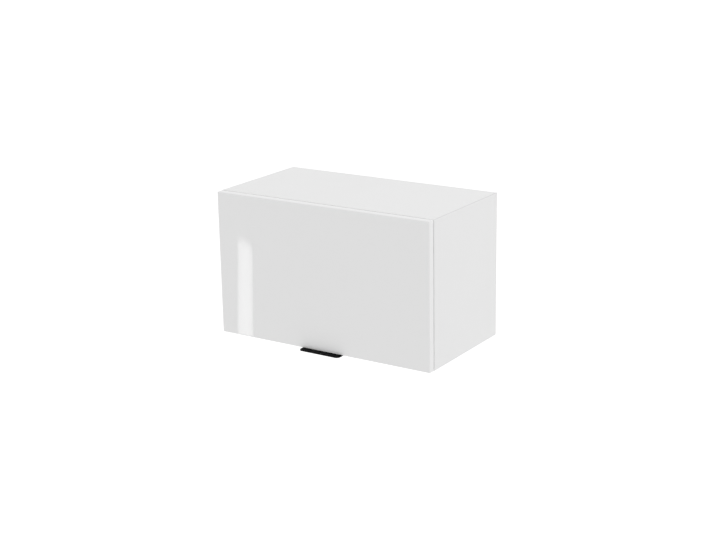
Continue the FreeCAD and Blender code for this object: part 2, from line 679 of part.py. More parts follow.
def make_lift_stays():
    """Two lift stays: housing, cover, spring, axle, lever, link, door bracket, pins and screws."""
    axles, elbow_pins, bracket_pins, stay_screws, bracket_screws = [], [], [], [], []
    side_holes = {}
    door_holes = []
    case_near = f"({HALF_INSIDE} - stay_thick)"
    rear = f"({STAY_AHEAD} - stay_behind)"
    long = "(stay_behind + stay_before)"
    low = f"({STAY_RISE} - stay_below)"
    high = "(stay_above + stay_below)"
    case_y = (f"(-{STAY_AHEAD} - stay_before)", long)
    for side_name, side in SIDES.items():
        out = outward(side)
        case = block(f"stay_case_{side_name}", span(side, case_near, "stay_thick"), case_y, (low, high))
        room = block(f"stay_room_{side_name}",
                     span(side, f"({case_near} - overrun)", "(stay_thick - stay_wall + overrun)"),
                     (f"({case_y[0]} + stay_wall)", f"({long} - 2 * stay_wall)"),
                     (f"({low} + stay_wall)", f"({high} - 2 * stay_wall)"))
        shell = cut(f"stay_shell_{side_name}", case, [room])
        pivot_y = behind(STAY_AHEAD)
        boss_x = mid_x(side, f"({HALF_INSIDE} - stay_wall - stay_boss_long)")
        boss = rod(f"stay_boss_{side_name}", out, (boss_x, pivot_y, STAY_RISE), "stay_boss_radius",
                   "(stay_boss_long + stay_wall / 2)")
        axle_start = (mid_x(side, LEVER_NEAR), pivot_y, STAY_RISE)
        axle_long = f"({HALF_INSIDE} - stay_wall - {LEVER_NEAR})"
        axles.append(rod(f"stay_axle_{side_name}", out, axle_start, "stay_axle_radius", axle_long))
        tools = [hole(f"stay_boss_bore_{side_name}", out, axle_start, "stay_axle_radius", axle_long)]
        side_holes[side_name] = []
        margin = "(stay_wall + stay_screw_margin)"
        rear_y = f"(-{rear} - {margin})"
        front_y = f"({case_y[0]} + {margin})"
        low_z = f"({low} + {margin})"
        top_z = f"({low} + {high} - {margin})"
        seat_x = mid_x(side, f"({HALF_INSIDE} - stay_wall)")
        for i, (y, z) in enumerate(((rear_y, low_z), (rear_y, top_z), (front_y, low_z))):
            tag = f"stay_screw_{side_name}_{i}"
            length = "(stay_wall + screw_bite)"
            stay_screws.append(screw(tag, out, (seat_x, y, z), "screw_radius", length))
            tools.append(hole(tag + "_bore", out, (seat_x, y, z), "screw_radius", length))
            side_holes[side_name].append(hole(tag + "_pilot", out, (seat_x, y, z), "screw_radius", length))
        housing = join(f"stay_housing_stock_{side_name}", [shell, boss])
        node(f"lift_housing_{side_name}", cut(f"lift_housing_{side_name}", housing, tools))

        cover = block(f"stay_lid_{side_name}", span(side, STAY_FACE, "stay_cover"), case_y, (low, high))
        lid_bore = hole(f"stay_lid_bore_{side_name}", out, axle_start, "stay_axle_radius", axle_long)
        node(f"lift_cover_{side_name}", cut(f"lift_cover_{side_name}", cover, [lid_bore]))

        spring_x = mid_x(side, f"({HALF_INSIDE} - stay_wall - spring_long)")
        coil = rod(f"spring_coil_{side_name}", out, (spring_x, pivot_y, STAY_RISE), "spring_radius",
                   "spring_long")
        core = rod(f"spring_core_{side_name}", out, (spring_x, pivot_y, STAY_RISE),
                   "(spring_radius - spring_wall)", "spring_long")
        node(f"lift_spring_{side_name}", cut(f"lift_spring_{side_name}", coil, [core]))

        lever = bar(f"lift_lever_{side_name}", span(side, LEVER_NEAR, "lever_thick"), "lever_half",
                    "lever_length", ("stay_axle_radius", "pin_radius"))
        node(f"lift_lever_{side_name}",
             swing(lever, STAY_AHEAD, STAY_RISE, "lever_tilt", SIZES["lever_tilt"]))
        link = bar(f"lift_link_{side_name}", span(side, LINK_NEAR, "link_thick"), "link_half",
                   "link_length", ("pin_radius", "pin_radius"))
        quarter = 90
        node(f"lift_link_{side_name}",
             swing(link, ELBOW_AHEAD, ELBOW_RISE, f"(-{quarter} - link_tilt)",
                   -quarter - SIZES["link_tilt"]))

        pin_long = "(link_thick + stay_gap + lever_thick)"
        pin_start = mid_x(side, LINK_NEAR)
        for pins, tag, ahead, rise in ((elbow_pins, "elbow", ELBOW_AHEAD, ELBOW_RISE),
                                       (bracket_pins, "bracket", BRACKET_AHEAD, BRACKET_RISE)):
            pins.append(screw(f"{tag}_pin_{side_name}", out, (pin_start, behind(ahead), rise), "pin_radius",
                              pin_long, "pin_head_radius", "pin_head_high"))

        foot_near = f"({LEVER_NEAR} + lever_thick - (1 - bracket_outer_share) * bracket_wide)"
        foot = block(f"bracket_foot_{side_name}", span(side, foot_near, "bracket_wide"),
                     (behind(DOOR_BACK), "bracket_thick"),
                     (f"({BRACKET_RISE} - bracket_high / 2)", "bracket_high"))
        ear_x = span(side, LEVER_NEAR, "lever_thick")
        ear_y = (behind(DOOR_BACK), f"({DOOR_BACK} - {BRACKET_AHEAD})")
        ear = block(f"bracket_ear_{side_name}", ear_x, ear_y,
                    (f"({BRACKET_RISE} - bracket_ear_half)", "(2 * bracket_ear_half)"))
        eye = rod(f"bracket_eye_{side_name}", "+X", (ear_x[0], behind(BRACKET_AHEAD), BRACKET_RISE),
                  "bracket_ear_half", "lever_thick")
        tools = [hole(f"bracket_bore_{side_name}", "+X",
                      (f"({ear_x[0]} - overrun)", behind(BRACKET_AHEAD), BRACKET_RISE),
                      "pin_radius", "(lever_thick + 2 * overrun)")]
        seat_y = behind(f"({DOOR_BACK} - bracket_thick)")
        spots = [(f"({foot_near} + bracket_screw_inset)", sign) for sign in ("-", "+")]
        spots += [(f"({foot_near} + bracket_wide - bracket_screw_inset)", sign) for sign in ("-", "+")]
        for i, (x, sign) in enumerate(spots):
            seat = (mid_x(side, x), seat_y, f"({BRACKET_RISE} {sign} bracket_screw_pitch / 2)")
            tag = f"bracket_screw_{side_name}_{i}"
            length = "(bracket_thick + screw_bite)"
            bracket_screws.append(screw(tag, "-Y", seat, "screw_radius", length))
            tools.append(hole(tag + "_bore", "-Y", seat, "screw_radius", length))
            door_holes.append(hole(tag + "_pilot", "-Y", seat, "screw_radius", length))
        bracket = join(f"bracket_stock_{side_name}", [foot, ear, eye])
        node(f"door_bracket_{side_name}", cut(f"door_bracket_{side_name}", bracket, tools))
    node("lift_axles", group("lift_axles", axles))
    node("elbow_pins", group("elbow_pins", elbow_pins))
    node("bracket_pins", group("bracket_pins", bracket_pins))
    node("lift_screws", group("lift_screws", stay_screws))
    node("bracket_screws", group("bracket_screws", bracket_screws))
    return side_holes, door_holes


def make_edge_pull():
    """Black angle profile: a leg on the door's back and a lip under the door that reaches forward."""
    low = f"({DOOR_LOW} - pull_thick)"
    leg_back = f"({DOOR_BACK} - pull_leg_thick)"
    leg_top = f"({DOOR_LOW} + pull_leg_high)"
    front = f"({DOOR_FRONT} + pull_reach)"
    outline = [(behind(leg_back), low), (behind(leg_back), leg_top), (behind(DOOR_BACK), leg_top),
               (behind(DOOR_BACK), DOOR_LOW), (behind(front), DOOR_LOW), (behind(front), low)]
    body = pad_outline("pull_profile", "YZ_Plane", "(-pull_width / 2)", outline, "pull_width")
    front_y = body.Tip.Shape.BoundBox.YMin

    def at_front(edge):
        return abs(edge.CenterOfMass.y - front_y) < 1e-6

    round_off(body, "pull_corners", "pull_corner_radius",
              lambda edge: at_front(edge) and runs_along(edge, Vector(0, 0, 1)))
    round_off(body, "pull_edges", "pull_edge_radius",
              lambda edge: at_front(edge) and runs_along(edge, Vector(1, 0, 0)))
    screws, bores, pilots = [], [], []
    for side_name, side in SIDES.items():
        x = mid_x(side, "(pull_screw_pitch / 2)")
        seat = (x, behind(leg_back), f"({DOOR_LOW} + pull_screw_rise)")
        tag = f"pull_screw_{side_name}"
        length = "(pull_leg_thick + screw_bite)"
        for holder, play, suffix in ((screws, "0", ""), (bores, "fit", "_bore")):
            head = doc.addObject("Part::Cone", f"{tag}_head{suffix}")
            bind(head, "Radius1", f"(pull_screw_head_radius + {play})")
            bind(head, "Radius2", f"(screw_radius + {play})")
            bind(head, "Height", "pull_screw_head_high")
            place(head, seat, TURNS["-Y"])
            stem = rod(f"{tag}_shank{suffix}", "-Y", seat, f"(screw_radius + {play})", length)
            holder.append(join(tag + suffix, [head, stem]))
        pilots.append(hole(tag + "_pilot", "-Y", seat, "screw_radius", length))
    node("edge_pull", cut("edge_pull", body, bores))
    node("edge_pull_screws", group("edge_pull_screws", screws))
    return pilots


def make_door(holes):
    """Door panel with eased edges, bored for its fittings, and two bumpers on its back."""
    half = "(cabinet_width / 2 - door_side_reveal)"
    outline = [(f"(-{half})", DOOR_LOW), (half, DOOR_LOW), (half, DOOR_TOP), (f"(-{half})", DOOR_TOP)]
    body = pad_outline("door_blank", "XZ_Plane", DOOR_BACK, outline, "door_thick")
    front_y = body.Tip.Shape.BoundBox.YMin
    round_off(body, "door_corners", "door_corner_radius", lambda edge: runs_along(edge, Vector(0, 1, 0)))
    round_off(body, "door_edges", "door_edge_radius",
              lambda edge: abs(edge.BoundBox.YMax - front_y) < 1e-6)
    node("door_panel", cut("door_panel", body, holes))
    bumpers = [rod(f"bumper_{side_name}", "+Y",
                   (mid_x(side, "(cabinet_width / 2 - panel / 2)"), behind(DOOR_BACK),
                    f"({DOOR_LOW} + bumper_rise)"), "bumper_radius", "bumper_thick")
               for side_name, side in SIDES.items()]
    node("door_bumpers", group("door_bumpers", bumpers))


fitting_cutters = make_carcass_fittings()
make_wall_rail()
hanger_holes = make_hangers()
hinge_door_holes, hinge_top_holes = make_hinges()
stay_holes, bracket_door_holes = make_lift_stays()
panel_holes = {name: hanger_holes[name] + stay_holes[name] for name in SIDES}
make_carcass(fitting_cutters, panel_holes, hinge_top_holes)
pull_pilots = make_edge_pull()
make_door(hinge_door_holes + bracket_door_holes + pull_pilots)
doc.recompute()

failed = [obj.Name for obj in doc.Objects if {"Invalid", "Error"} & set(obj.State)]
failed += [name for name, obj in nodes.items() if obj.Shape.isNull() or not obj.Shape.isValid()]
if failed:
    raise RuntimeError("failed objects: " + ", ".join(failed))

os.makedirs("parts", exist_ok=True)
for name, obj in nodes.items():
    obj.Shape.exportStep(f"parts/{name}.step")
    print(f"{name}: {len(obj.Shape.Solids)} solids, {obj.Shape.Volume:.1f} mm3")
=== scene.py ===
import json
import math

import bmesh
import bpy
import numpy as np
from mathutils import Matrix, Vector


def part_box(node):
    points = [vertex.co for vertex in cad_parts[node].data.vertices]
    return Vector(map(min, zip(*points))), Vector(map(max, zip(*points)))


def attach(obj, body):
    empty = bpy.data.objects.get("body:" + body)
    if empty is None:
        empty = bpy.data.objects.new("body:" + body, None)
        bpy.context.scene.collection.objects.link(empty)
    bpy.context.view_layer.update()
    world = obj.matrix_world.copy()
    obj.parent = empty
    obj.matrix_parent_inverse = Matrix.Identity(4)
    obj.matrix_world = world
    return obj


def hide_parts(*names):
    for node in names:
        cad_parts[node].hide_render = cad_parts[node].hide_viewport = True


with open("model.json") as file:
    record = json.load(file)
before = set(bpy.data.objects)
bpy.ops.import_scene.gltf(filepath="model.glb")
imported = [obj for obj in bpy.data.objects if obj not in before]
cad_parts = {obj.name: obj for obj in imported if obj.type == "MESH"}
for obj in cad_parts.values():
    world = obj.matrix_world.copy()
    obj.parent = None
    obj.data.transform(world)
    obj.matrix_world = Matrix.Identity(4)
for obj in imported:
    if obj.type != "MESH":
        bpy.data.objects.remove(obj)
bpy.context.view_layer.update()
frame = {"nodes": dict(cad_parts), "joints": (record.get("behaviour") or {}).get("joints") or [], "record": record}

bl_info = {
    "name": "Lift-up wall cabinet",
    "version": (1, 0, 0),
    "blender": (4, 5, 0),
    "location": "3D View > Sidebar > Cabinet",
    "description": "Finishes, fittings and studio stage of a wall cabinet with a lift-up door",
    "category": "Object",
}

SLOT_COLOUR = {m["slot"]: tuple(m["base_color"][:3]) for m in frame["record"]["materials"]}
MM = 0.001
SIDES = ((-1, "left"), (1, "right"))
WALL_SIDE, UP, DOWN = (0, 1, 0), (0, 0, 1), (0, 0, -1)

# Places in millimetres: y is 0 at the wall and negative in front of it, z is 0 at the rail's screw slots. The
# four pivots of a stay and its door are pairs of y and z.
HINGE, STAY, ELBOW = (np.array(frame["joints"][i]["pos_m"][1:]) / MM for i in range(3))
BRACKET = HINGE + ELBOW - STAY
DOOR_BACK, CEILING, FLOOR_Z = -302.5, 32.0, -296.0
HINGE_X, CUP_Z, FLANGE = 200.0, HINGE[1] - 13.4, 1.2  # FLANGE is the thickness of a hinge cup's flange
WINGS_Y, WINGS_Z = -263.5, 30  # middle and underside of the mounting plates' wings
LEVER_X, LINK_X, HOUSING_X = (263, 266), (259.5, 262.5), 282  # a stay's layers, from the cabinet's middle
FOOT, COVER_STEP = 2.5, 11  # thickness of a bracket's foot; from a stay's axle to its cover's middle
PULL_TOP, PULL_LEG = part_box("edge_pull")[1][2] / MM, 2.0
PULL_BACK = DOOR_BACK + PULL_LEG
TIP = 0.02  # radius of the smallest ring, which closes an end


def colour_property(what, colour):
    """A colour a user may change, which starts as given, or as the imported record's colour of a slot."""
    return bpy.props.FloatVectorProperty(
        name=what, description=f"Colour of the {what.lower()}", subtype="COLOR", size=3, min=0, max=1,
        default=SLOT_COLOUR.get(colour, colour))


def number_property(name, what, default, low=0, **more):
    """A number a user may change."""
    return bpy.props.FloatProperty(name=name, description=what, default=default, min=low, **more)


def length_property(name, what, default):
    """A length a user may change, in metres."""
    return number_property(name, what, default, subtype="DISTANCE", unit="LENGTH", precision=5)


class CabinetColours(bpy.types.PropertyGroup):
    """Colours of the cabinet's finishes."""
    board: colour_property("Carcass boards", "white_board")
    band: colour_property("Edge bands", "edge_band")
    lacquer: colour_property("Back panel", "white_hardboard")
    foil: colour_property("Door's gloss foil", "gloss_front")
    pull: colour_property("Edge pull", "black_metal")
    beech: colour_property("Dowels", "beech")
    zinc: colour_property("Rail and hooks", "zinc_steel")
    nickel: colour_property("Hinges and stays", "nickel_steel")
    screw: colour_property("Screws", "screw_steel")
    spring: colour_property("Springs", "spring_steel")
    grey: colour_property("Stay housings", "grey_plastic")
    moulded: colour_property("Hangers and cam covers", "white_plastic")
    gel: colour_property("Door bumpers", "clear_rubber")
    chips: colour_property("Bare chipboard edges", (0.47, 0.34, 0.21))
    fibre: colour_property("Back panel's bare rear", (0.25, 0.15, 0.085))


class CabinetSizes(bpy.types.PropertyGroup):
    """Sizes of the small shapes that finish the cabinet."""
    recess_depth: length_property("Recess depth", "Depth of the cross in a screw head", 0.0013)
    recess_width: length_property("Recess width", "Width of one arm of that cross", 0.0012)
    thread_pitch: length_property("Thread pitch", "Distance between two turns of a screw's thread", 0.0016)
    coil_wire: length_property("Spring wire", "Thickness of the stay spring's wire", 0.0021)
    pull_edge: length_property("Pull edge", "Radius of the edge pull's edges", 0.0008)
    pull_bend: length_property("Pull bend", "Inner radius of the edge pull's bend", 0.0012)
    coil_turns: number_property("Coil turns", "Turns of the stay's spring", 2.8, low=1, max=8)


class CabinetStage(bpy.types.PropertyGroup):
    """The studio round the cabinet."""
    floor_drop: length_property("Floor drop", "Height of the origin over the floor", 1.15)
    sky: number_property("Sky", "Strength of the light from all round", 0.88, max=4)
    key: number_property("Key lamp", "Power of the large lamp over the right side", 11.5, subtype="POWER")
    strip: number_property("Strip lamp", "Glow of the strip that the door mirrors", 4.5, max=20)


# Meshes


def quarter(steps):
    """Angles from 0 to a right angle, both ends included."""
    return np.linspace(0, math.pi / 2, steps)


def circle(count):
    """Angles once round, without the last, which is the first again."""
    return np.arange(count) * 2 * math.pi / count


def ring_shell(rings):
    """Points and faces of a closed shell: rings of as many points each, side by side, neighbours joined by
    four-sided faces, with a flat face over the first and over the last ring."""
    rows, count, _ = rings.shape
    here = (np.arange(rows - 1)[:, None] * count + np.arange(count)).ravel()
    beside = (np.arange(rows - 1)[:, None] * count + (np.arange(count) + 1) % count).ravel()
    sides = np.stack([here, beside, beside + count, here + count], 1).tolist()
    first, last = list(range(count)), list(range((rows - 1) * count, rows * count))
    return rings.reshape(-1, 3), sides + [first[::-1], last]


def level_shell(flat, height):
    """A closed shell of level rings, from their points in the plane and one height for each ring."""
    height = np.broadcast_to(np.reshape(height, (-1, 1, 1)), flat.shape[:2] + (1,))
    return ring_shell(np.concatenate([flat, height], 2))


def turned_rings(reach, angle, height):
    """Rings about the third axis from the points' distances, angles and heights."""
    return np.stack([reach * np.cos(angle), reach * np.sin(angle), np.broadcast_to(height, reach.shape)], 2)


def set_down(shell, origin, up):
    """A shell made about the origin, put at its place: turned so that its third axis runs along up and its
    first along across, then moved, which makes each point origin + x across + y (up x across) + z up."""
    points, faces = shell
    up = np.array(up, float)
    across = np.array((1, 0, 0) if abs(up[0]) < 0.5 else (0, 1, 0), float)
    return np.array(origin, float) + points @ np.stack([across, np.cross(up, across), up]), faces


def add_object(name, data):
    """A new object of the scene, at the origin and unturned."""
    made = bpy.data.objects.new(name, data)
    bpy.context.scene.collection.objects.link(made)
    return made


def make_piece(name, shells, body, slot, *replaced):
    """One piece from closed shells in millimetres: joined, seams and poles merged, faces turned outwards, put
    at its place in metres, finished as its slot says, hung on its body, and the nodes it replaces hidden."""
    merged, crease = 2e-6, math.radians(32)
    starts = np.cumsum([0] + [len(points) for points, _ in shells])
    points = np.concatenate([points for points, _ in shells]) * MM
    faces = [[int(i) + int(start) for i in face] for (_, fs), start in zip(shells, starts) for face in fs]
    mesh = bpy.data.meshes.new(name)
    mesh.from_pydata(points.tolist(), [], faces)
    work = bmesh.new()
    work.from_mesh(mesh)
    bmesh.ops.remove_doubles(work, verts=work.verts, dist=merged)
    bmesh.ops.recalc_face_normals(work, faces=work.faces)
    work.to_mesh(mesh)
    work.free()
    mesh.shade_smooth()
    mesh.set_sharp_from_angle(angle=crease)
    mesh.materials.append(finish_of(slot))
    piece = add_object(name, mesh)
    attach(piece, body)
    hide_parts(*replaced)


def eased(low, high, radius):
    """Stations through a plate's thickness with quarter-round edges: pairs of inset and height, where the
    inset is radius times one minus the sine, and the height radius times one minus the cosine, of an angle
    that goes from 0 to a right angle."""
    angle = quarter(5)
    inset, rise = radius * (1 - np.sin(angle)), radius * (1 - np.cos(angle))
    return np.stack([np.r_[inset, inset[::-1]], np.r_[low + rise, high - rise[::-1]]], 1)


def plate(outline, low, high, edge):
    """A plate from low to high: its outline, a closed line of points going round to the left, is carried
    through the stations of its eased edges, drawn in along the line's normals by the inset."""
    stations = eased(low, high, edge)
    ahead, behind = np.roll(outline, -1, 0) - outline, outline - np.roll(outline, 1, 0)
    ahead /= np.linalg.norm(ahead, axis=1)[:, None]
    behind /= np.linalg.norm(behind, axis=1)[:, None]
    inward = np.stack([-(ahead + behind)[:, 1], (ahead + behind)[:, 0]], 1)
    inward /= (1 + (ahead * behind).sum(1))[:, None]
    return level_shell(outline[None] + stations[:, :1, None] * inward[None], stations[:, 1])


def rounded_box(half_wide, half_high, radius, steps=7):
    """Outlines of rectangles with round corners: each corner is a quarter circle about its own centre. The
    sizes may be arrays, which gives one outline for each entry."""
    half_wide, half_high, radius = (np.asarray(size, float)[..., None]
                                    for size in (half_wide, half_high, radius))
    corners = []
    for turn, (side_x, side_y) in enumerate(((1, 1), (-1, 1), (-1, -1), (1, -1))):
        angle = quarter(steps) + turn * math.pi / 2
        corners.append(np.stack([side_x * (half_wide - radius) + radius * np.cos(angle),
                                 side_y * (half_high - radius) + radius * np.sin(angle)], -1))
    return np.concatenate(corners, -2)


def turned(profile):
    """A turned body about the third axis: each station (radius, height) of the profile is a circle."""
    reach, height = np.asarray(profile, float).T[:, :, None]
    angle = circle(40)[None]
    return ring_shell(turned_rings(reach * np.ones_like(angle), angle, height))


def coil(radius, wire, turns, first, last):
    """A coil spring about the third axis: a circle of the wire's radius carried along a helix that rises from
    first to last in the given turns."""
    steps_a_turn, round_points = 44, 12
    along = np.linspace(0, 1, int(turns * steps_a_turn))
    angle, phi = along * turns * 2 * math.pi, circle(round_points)
    reach = radius + wire / 2 * np.cos(phi)[None]
    height = (first + along * (last - first))[:, None] + wire / 2 * np.sin(phi)[None]
    return ring_shell(np.stack([reach * np.cos(angle)[:, None], reach * np.sin(angle)[:, None], height], 2))


def cross_screw(sizes, head_radius, dome, rim, shank_radius, length, sunk=False):
    """A screw along the third axis, its head's underside at height 0 and its tip at minus length. The head's
    top is a dome, dome times one minus the squared share of the radius, with a cross sunk into it. On each
    circle two lines of points follow each arm's straight edges, half a width from its middle, at the angle
    whose sine is that distance by the radius. The shank's radius follows a thread, a saw tooth of height and
    angle, and tapers to the tip."""
    width, depth = sizes.recess_width / MM, min(sizes.recess_depth / MM, 0.75 * (rim + dome))
    pitch, wall_wide, end_slope = sizes.thread_pitch / MM, 0.14, 0.12
    arm_end, heart = 0.58 * head_radius, 0.82 * width
    rim_shares, fan_shares = np.array([0.7, 0.82, 0.92, 0.98, 1.0]), np.array([0.25, 0.5, 0.75])
    reach = np.r_[TIP, 0.5 * heart, heart, 1.12 * heart, np.linspace(1.3 * heart, arm_end - end_slope, 3),
                  arm_end, head_radius * rim_shares][:, None]
    edge = np.arcsin(np.minimum(width / 2 / reach, 0.6))
    wall = np.minimum(np.arcsin(np.minimum((width / 2 + wall_wide) / reach, 0.66)), 0.72)
    fan = wall + fan_shares * (math.pi / 4 - wall)
    side = np.concatenate([edge, wall, fan], 1)
    one_arm = np.concatenate([0 * edge, side, 0 * edge + math.pi / 4, math.pi / 2 - side[:, ::-1]], 1)
    angle = np.concatenate([one_arm + turn * math.pi / 2 for turn in range(4)], 1)
    in_arm = np.tile(np.r_[1, 1, np.zeros(one_arm.shape[1] - 3), 1], 4)
    low = np.maximum(in_arm, reach <= heart) * np.clip((arm_end - reach) / end_slope, 0, 1)
    head = turned_rings(reach * np.ones_like(angle), angle,
                        rim + dome * (1 - (reach / head_radius) ** 2) - depth * low)
    angle = angle[-1]
    under = [(head_radius, 0.15 * rim), (0.97 * head_radius, 0.0), (shank_radius, 0.0)]
    if sunk:
        under = [(head_radius, 0.0), (shank_radius, shank_radius - head_radius)]
    rings_a_turn, thread_share, taper_long = 5, 0.3, 1.5 * shank_radius
    fall = np.linspace(under[-1][1], -length, max(4, int(length / pitch * rings_a_turn)))[1:, None]
    tooth = (fall / pitch - angle / (2 * math.pi)) % 1.0
    reach = shank_radius * (1 - thread_share * tooth) * np.clip((length + fall) / taper_long, 0.08, 1)
    reach = np.concatenate([[0 * angle + radius for radius, _ in under], reach])
    height = np.r_[[[level] for _, level in under], fall]
    return ring_shell(np.concatenate([head, turned_rings(reach, angle, height)]))


def strap(start, end, radius, waist):
    """Outline of a lever between two eyes: a half circle round each end, joined by sides whose distance from
    the middle line is the radius less waist times the squared sine of the way between the ends."""
    along = (end - start) / np.linalg.norm(end - start)
    left = np.array([-along[1], along[0]])
    half = np.linspace(-math.pi / 2, math.pi / 2, 18)
    bow = radius * (np.cos(half)[:, None] * along + np.sin(half)[:, None] * left)
    way = np.linspace(0, 1, 26)[1:-1, None]
    middle, off = start + way * (end - start), (radius - waist * np.sin(math.pi * way) ** 2) * left
    return np.concatenate([end + bow, (middle + off)[::-1], start - bow, middle - off])


def ear(base, half_base, eye, radius):
    """Outline of an ear that stands up from a base line to a round eye: an arc about the eye, and the two
    corners on the base line."""
    angle = np.linspace(-0.62 * math.pi, 0.62 * math.pi, 22)
    arc = np.array([eye, 0]) + radius * np.stack([np.cos(angle), np.sin(angle)], 1)
    return np.concatenate([arc, [(base, half_base), (base, -half_base)]])


def slab(outline, low, high, edge, side, shift=(0, 0)):
    """A plate whose outline lies in the (y, z) plane and whose thickness runs from low to high, counted from
    the middle of the cabinet towards that side."""
    points, faces = plate(outline, low, high, edge)
    return np.stack([side * points[:, 2], points[:, 0] + shift[0], points[:, 1] + shift[1]], 1), faces


def rivet(radius, head_radius, head, first, last, dimple=0.35, spread=0.0):
    """A pin along the third axis, from first to last, with a low domed head at the first end whose middle is
    dimpled by the riveting punch. The other end is a rounded rim, or is spread by the punch to a low collar
    that stands the given height over last."""
    share = np.linspace(0.02, 1, 10)
    dome = head * (1 - 0.45 * share ** 2) - dimple * np.clip(1 - share / 0.35, 0, 1)
    top = np.stack([share * head_radius, first + head - dome], 1)
    shank = [(head_radius, first + head), (radius, first + head), (radius, last - 0.5)]
    if spread:
        shares = ((1, 0), (1.25, 0), (1.25, 0.4), (1.15, 0.8), (0.95, 1), (0.4, 1), (0.3, 0.5))
        end = [(radius * wide, last + spread * high) for wide, high in shares] + [(TIP, last + 0.4 * spread)]
    else:
        end = [(radius - 0.15, last - 0.15), (radius - 0.5, last), (0.3 * radius, last), (TIP, last - dimple)]
    return turned(np.concatenate([top, shank, end]))


def followed(corners, step):
    """Points along straight runs between corners, no further apart than step."""
    runs = [np.linspace(a, b, max(2, int(np.linalg.norm(b - a) / step) + 2))[:-1]
            for a, b in zip(corners[:-1], corners[1:])]
    return np.concatenate(runs)


def cup_flange():
    """Outline of a hinge cup's flange: in one quarter a wing with a round end, then the corner of the middle
    part; mirrored to the other three quarters."""
    bow = np.stack([np.cos(quarter(7)), np.sin(quarter(7))], 1)
    wing_end, corner = np.array([25, 5.5]) + 4 * bow, np.array([13.8, 16.3]) + 1.2 * bow
    neck = [(15.8, 9.5), (15.2, 9.8), (15, 10.4)]
    one = followed(np.concatenate([[(29, 0)], wing_end, neck, corner, [(0, 17.5)]]), 1.1)
    back = one[::-1] * (-1, 1)
    return np.concatenate([one, back, -one, -back])


def hinge_cup():
    """The cup of a hinge, about the third axis, its flange's underside at height 0: towards each point of the
    flange's outline a profile runs up the hollow bowl, over the flange and back down outside. Its stations
    count from the axis, or from the outline where on_rim is 1."""
    rim, depth = cup_flange(), 14.4
    way = rim / np.linalg.norm(rim, axis=1)[:, None]
    on_rim, radius, height = np.array([
        (0, TIP, 0.8 - depth), (0, 14.2, 0.8 - depth), (0, 15.6, 1.3 - depth), (0, 16.2, 2.6 - depth),
        (0, 16.3, 0.6 * FLANGE), (0, 16.6, FLANGE), (0, 17.2, FLANGE), (1, -0.4, FLANGE),
        (1, -0.12, FLANGE - 0.12), (1, 0, FLANGE - 0.4), (1, 0, 0), (0, 17.4, 0), (0, 17.4, 1.2 - depth),
        (0, 16.3, -depth), (0, TIP, -depth)]).T[:, :, None, None]
    return level_shell(on_rim * rim + radius * way, height)


def relief_cap(half_wide, half_high, corner, edge, rows, relief):
    """A moulded cap 1.5 mm thick: the outline of a round-cornered rectangle is carried over its rounded edge,
    then drawn in towards the middle in equal shares, while the height follows relief(x, y, share)."""
    high, small = 1.5, 0.01
    outline = rounded_box(half_wide, half_high, corner, 12)
    outline = followed(np.concatenate([outline, outline[:1]]), 1.0)
    size = np.array([half_wide, half_high])
    rim = [(small, 0), (1, 0)]
    rim += [(1 - edge * (1 - math.cos(a)) / size, high - edge + edge * math.sin(a)) for a in quarter(6)]
    rings = [np.column_stack([outline * scale, np.full(len(outline), height)]) for scale, height in rim]
    for share in np.linspace(1, small, rows)[1:]:
        here = outline * rim[-1][0] * share
        rings.append(np.column_stack([here, high + relief(here[:, 0], here[:, 1], share)]))
    return ring_shell(np.array(rings))


def fluted_dowel(radius, long):
    """A dowel along the third axis: its radius is less by the flute's depth times the squared sine of half
    the groove's phase, and both ends are chamfered."""
    flute, grooves, chamfer = 0.28, 20, 1.2
    angle = circle(120)
    height = np.r_[0, 0, chamfer, long - chamfer, long, long][:, None]
    reach = np.r_[TIP, radius - chamfer, radius, radius, radius - chamfer, TIP][:, None]
    reach = np.where(reach > radius - 0.5, reach - flute * np.sin(angle * grooves / 2) ** 2, reach)
    return ring_shell(turned_rings(reach, angle, height))


# Finishes


def plug(tree, node, sockets):
    """Gives each of a node's sockets a number, a colour or another socket."""
    for key, value in sockets.items():
        if isinstance(value, bpy.types.NodeSocket):
            tree.links.new(value, node.inputs[key])
        else:
            node.inputs[key].default_value = value


def add_node(tree, kind, sockets, **settings):
    """A node of that kind with its settings and its sockets' values."""
    made = tree.nodes.new("ShaderNode" + kind)
    for key, value in settings.items():
        setattr(made, key, value)
    plug(tree, made, sockets)
    return made


def shade(colour, factor):
    """A colour made lighter or darker by a factor."""
    return tuple(min(1.0, c * factor) for c in colour)


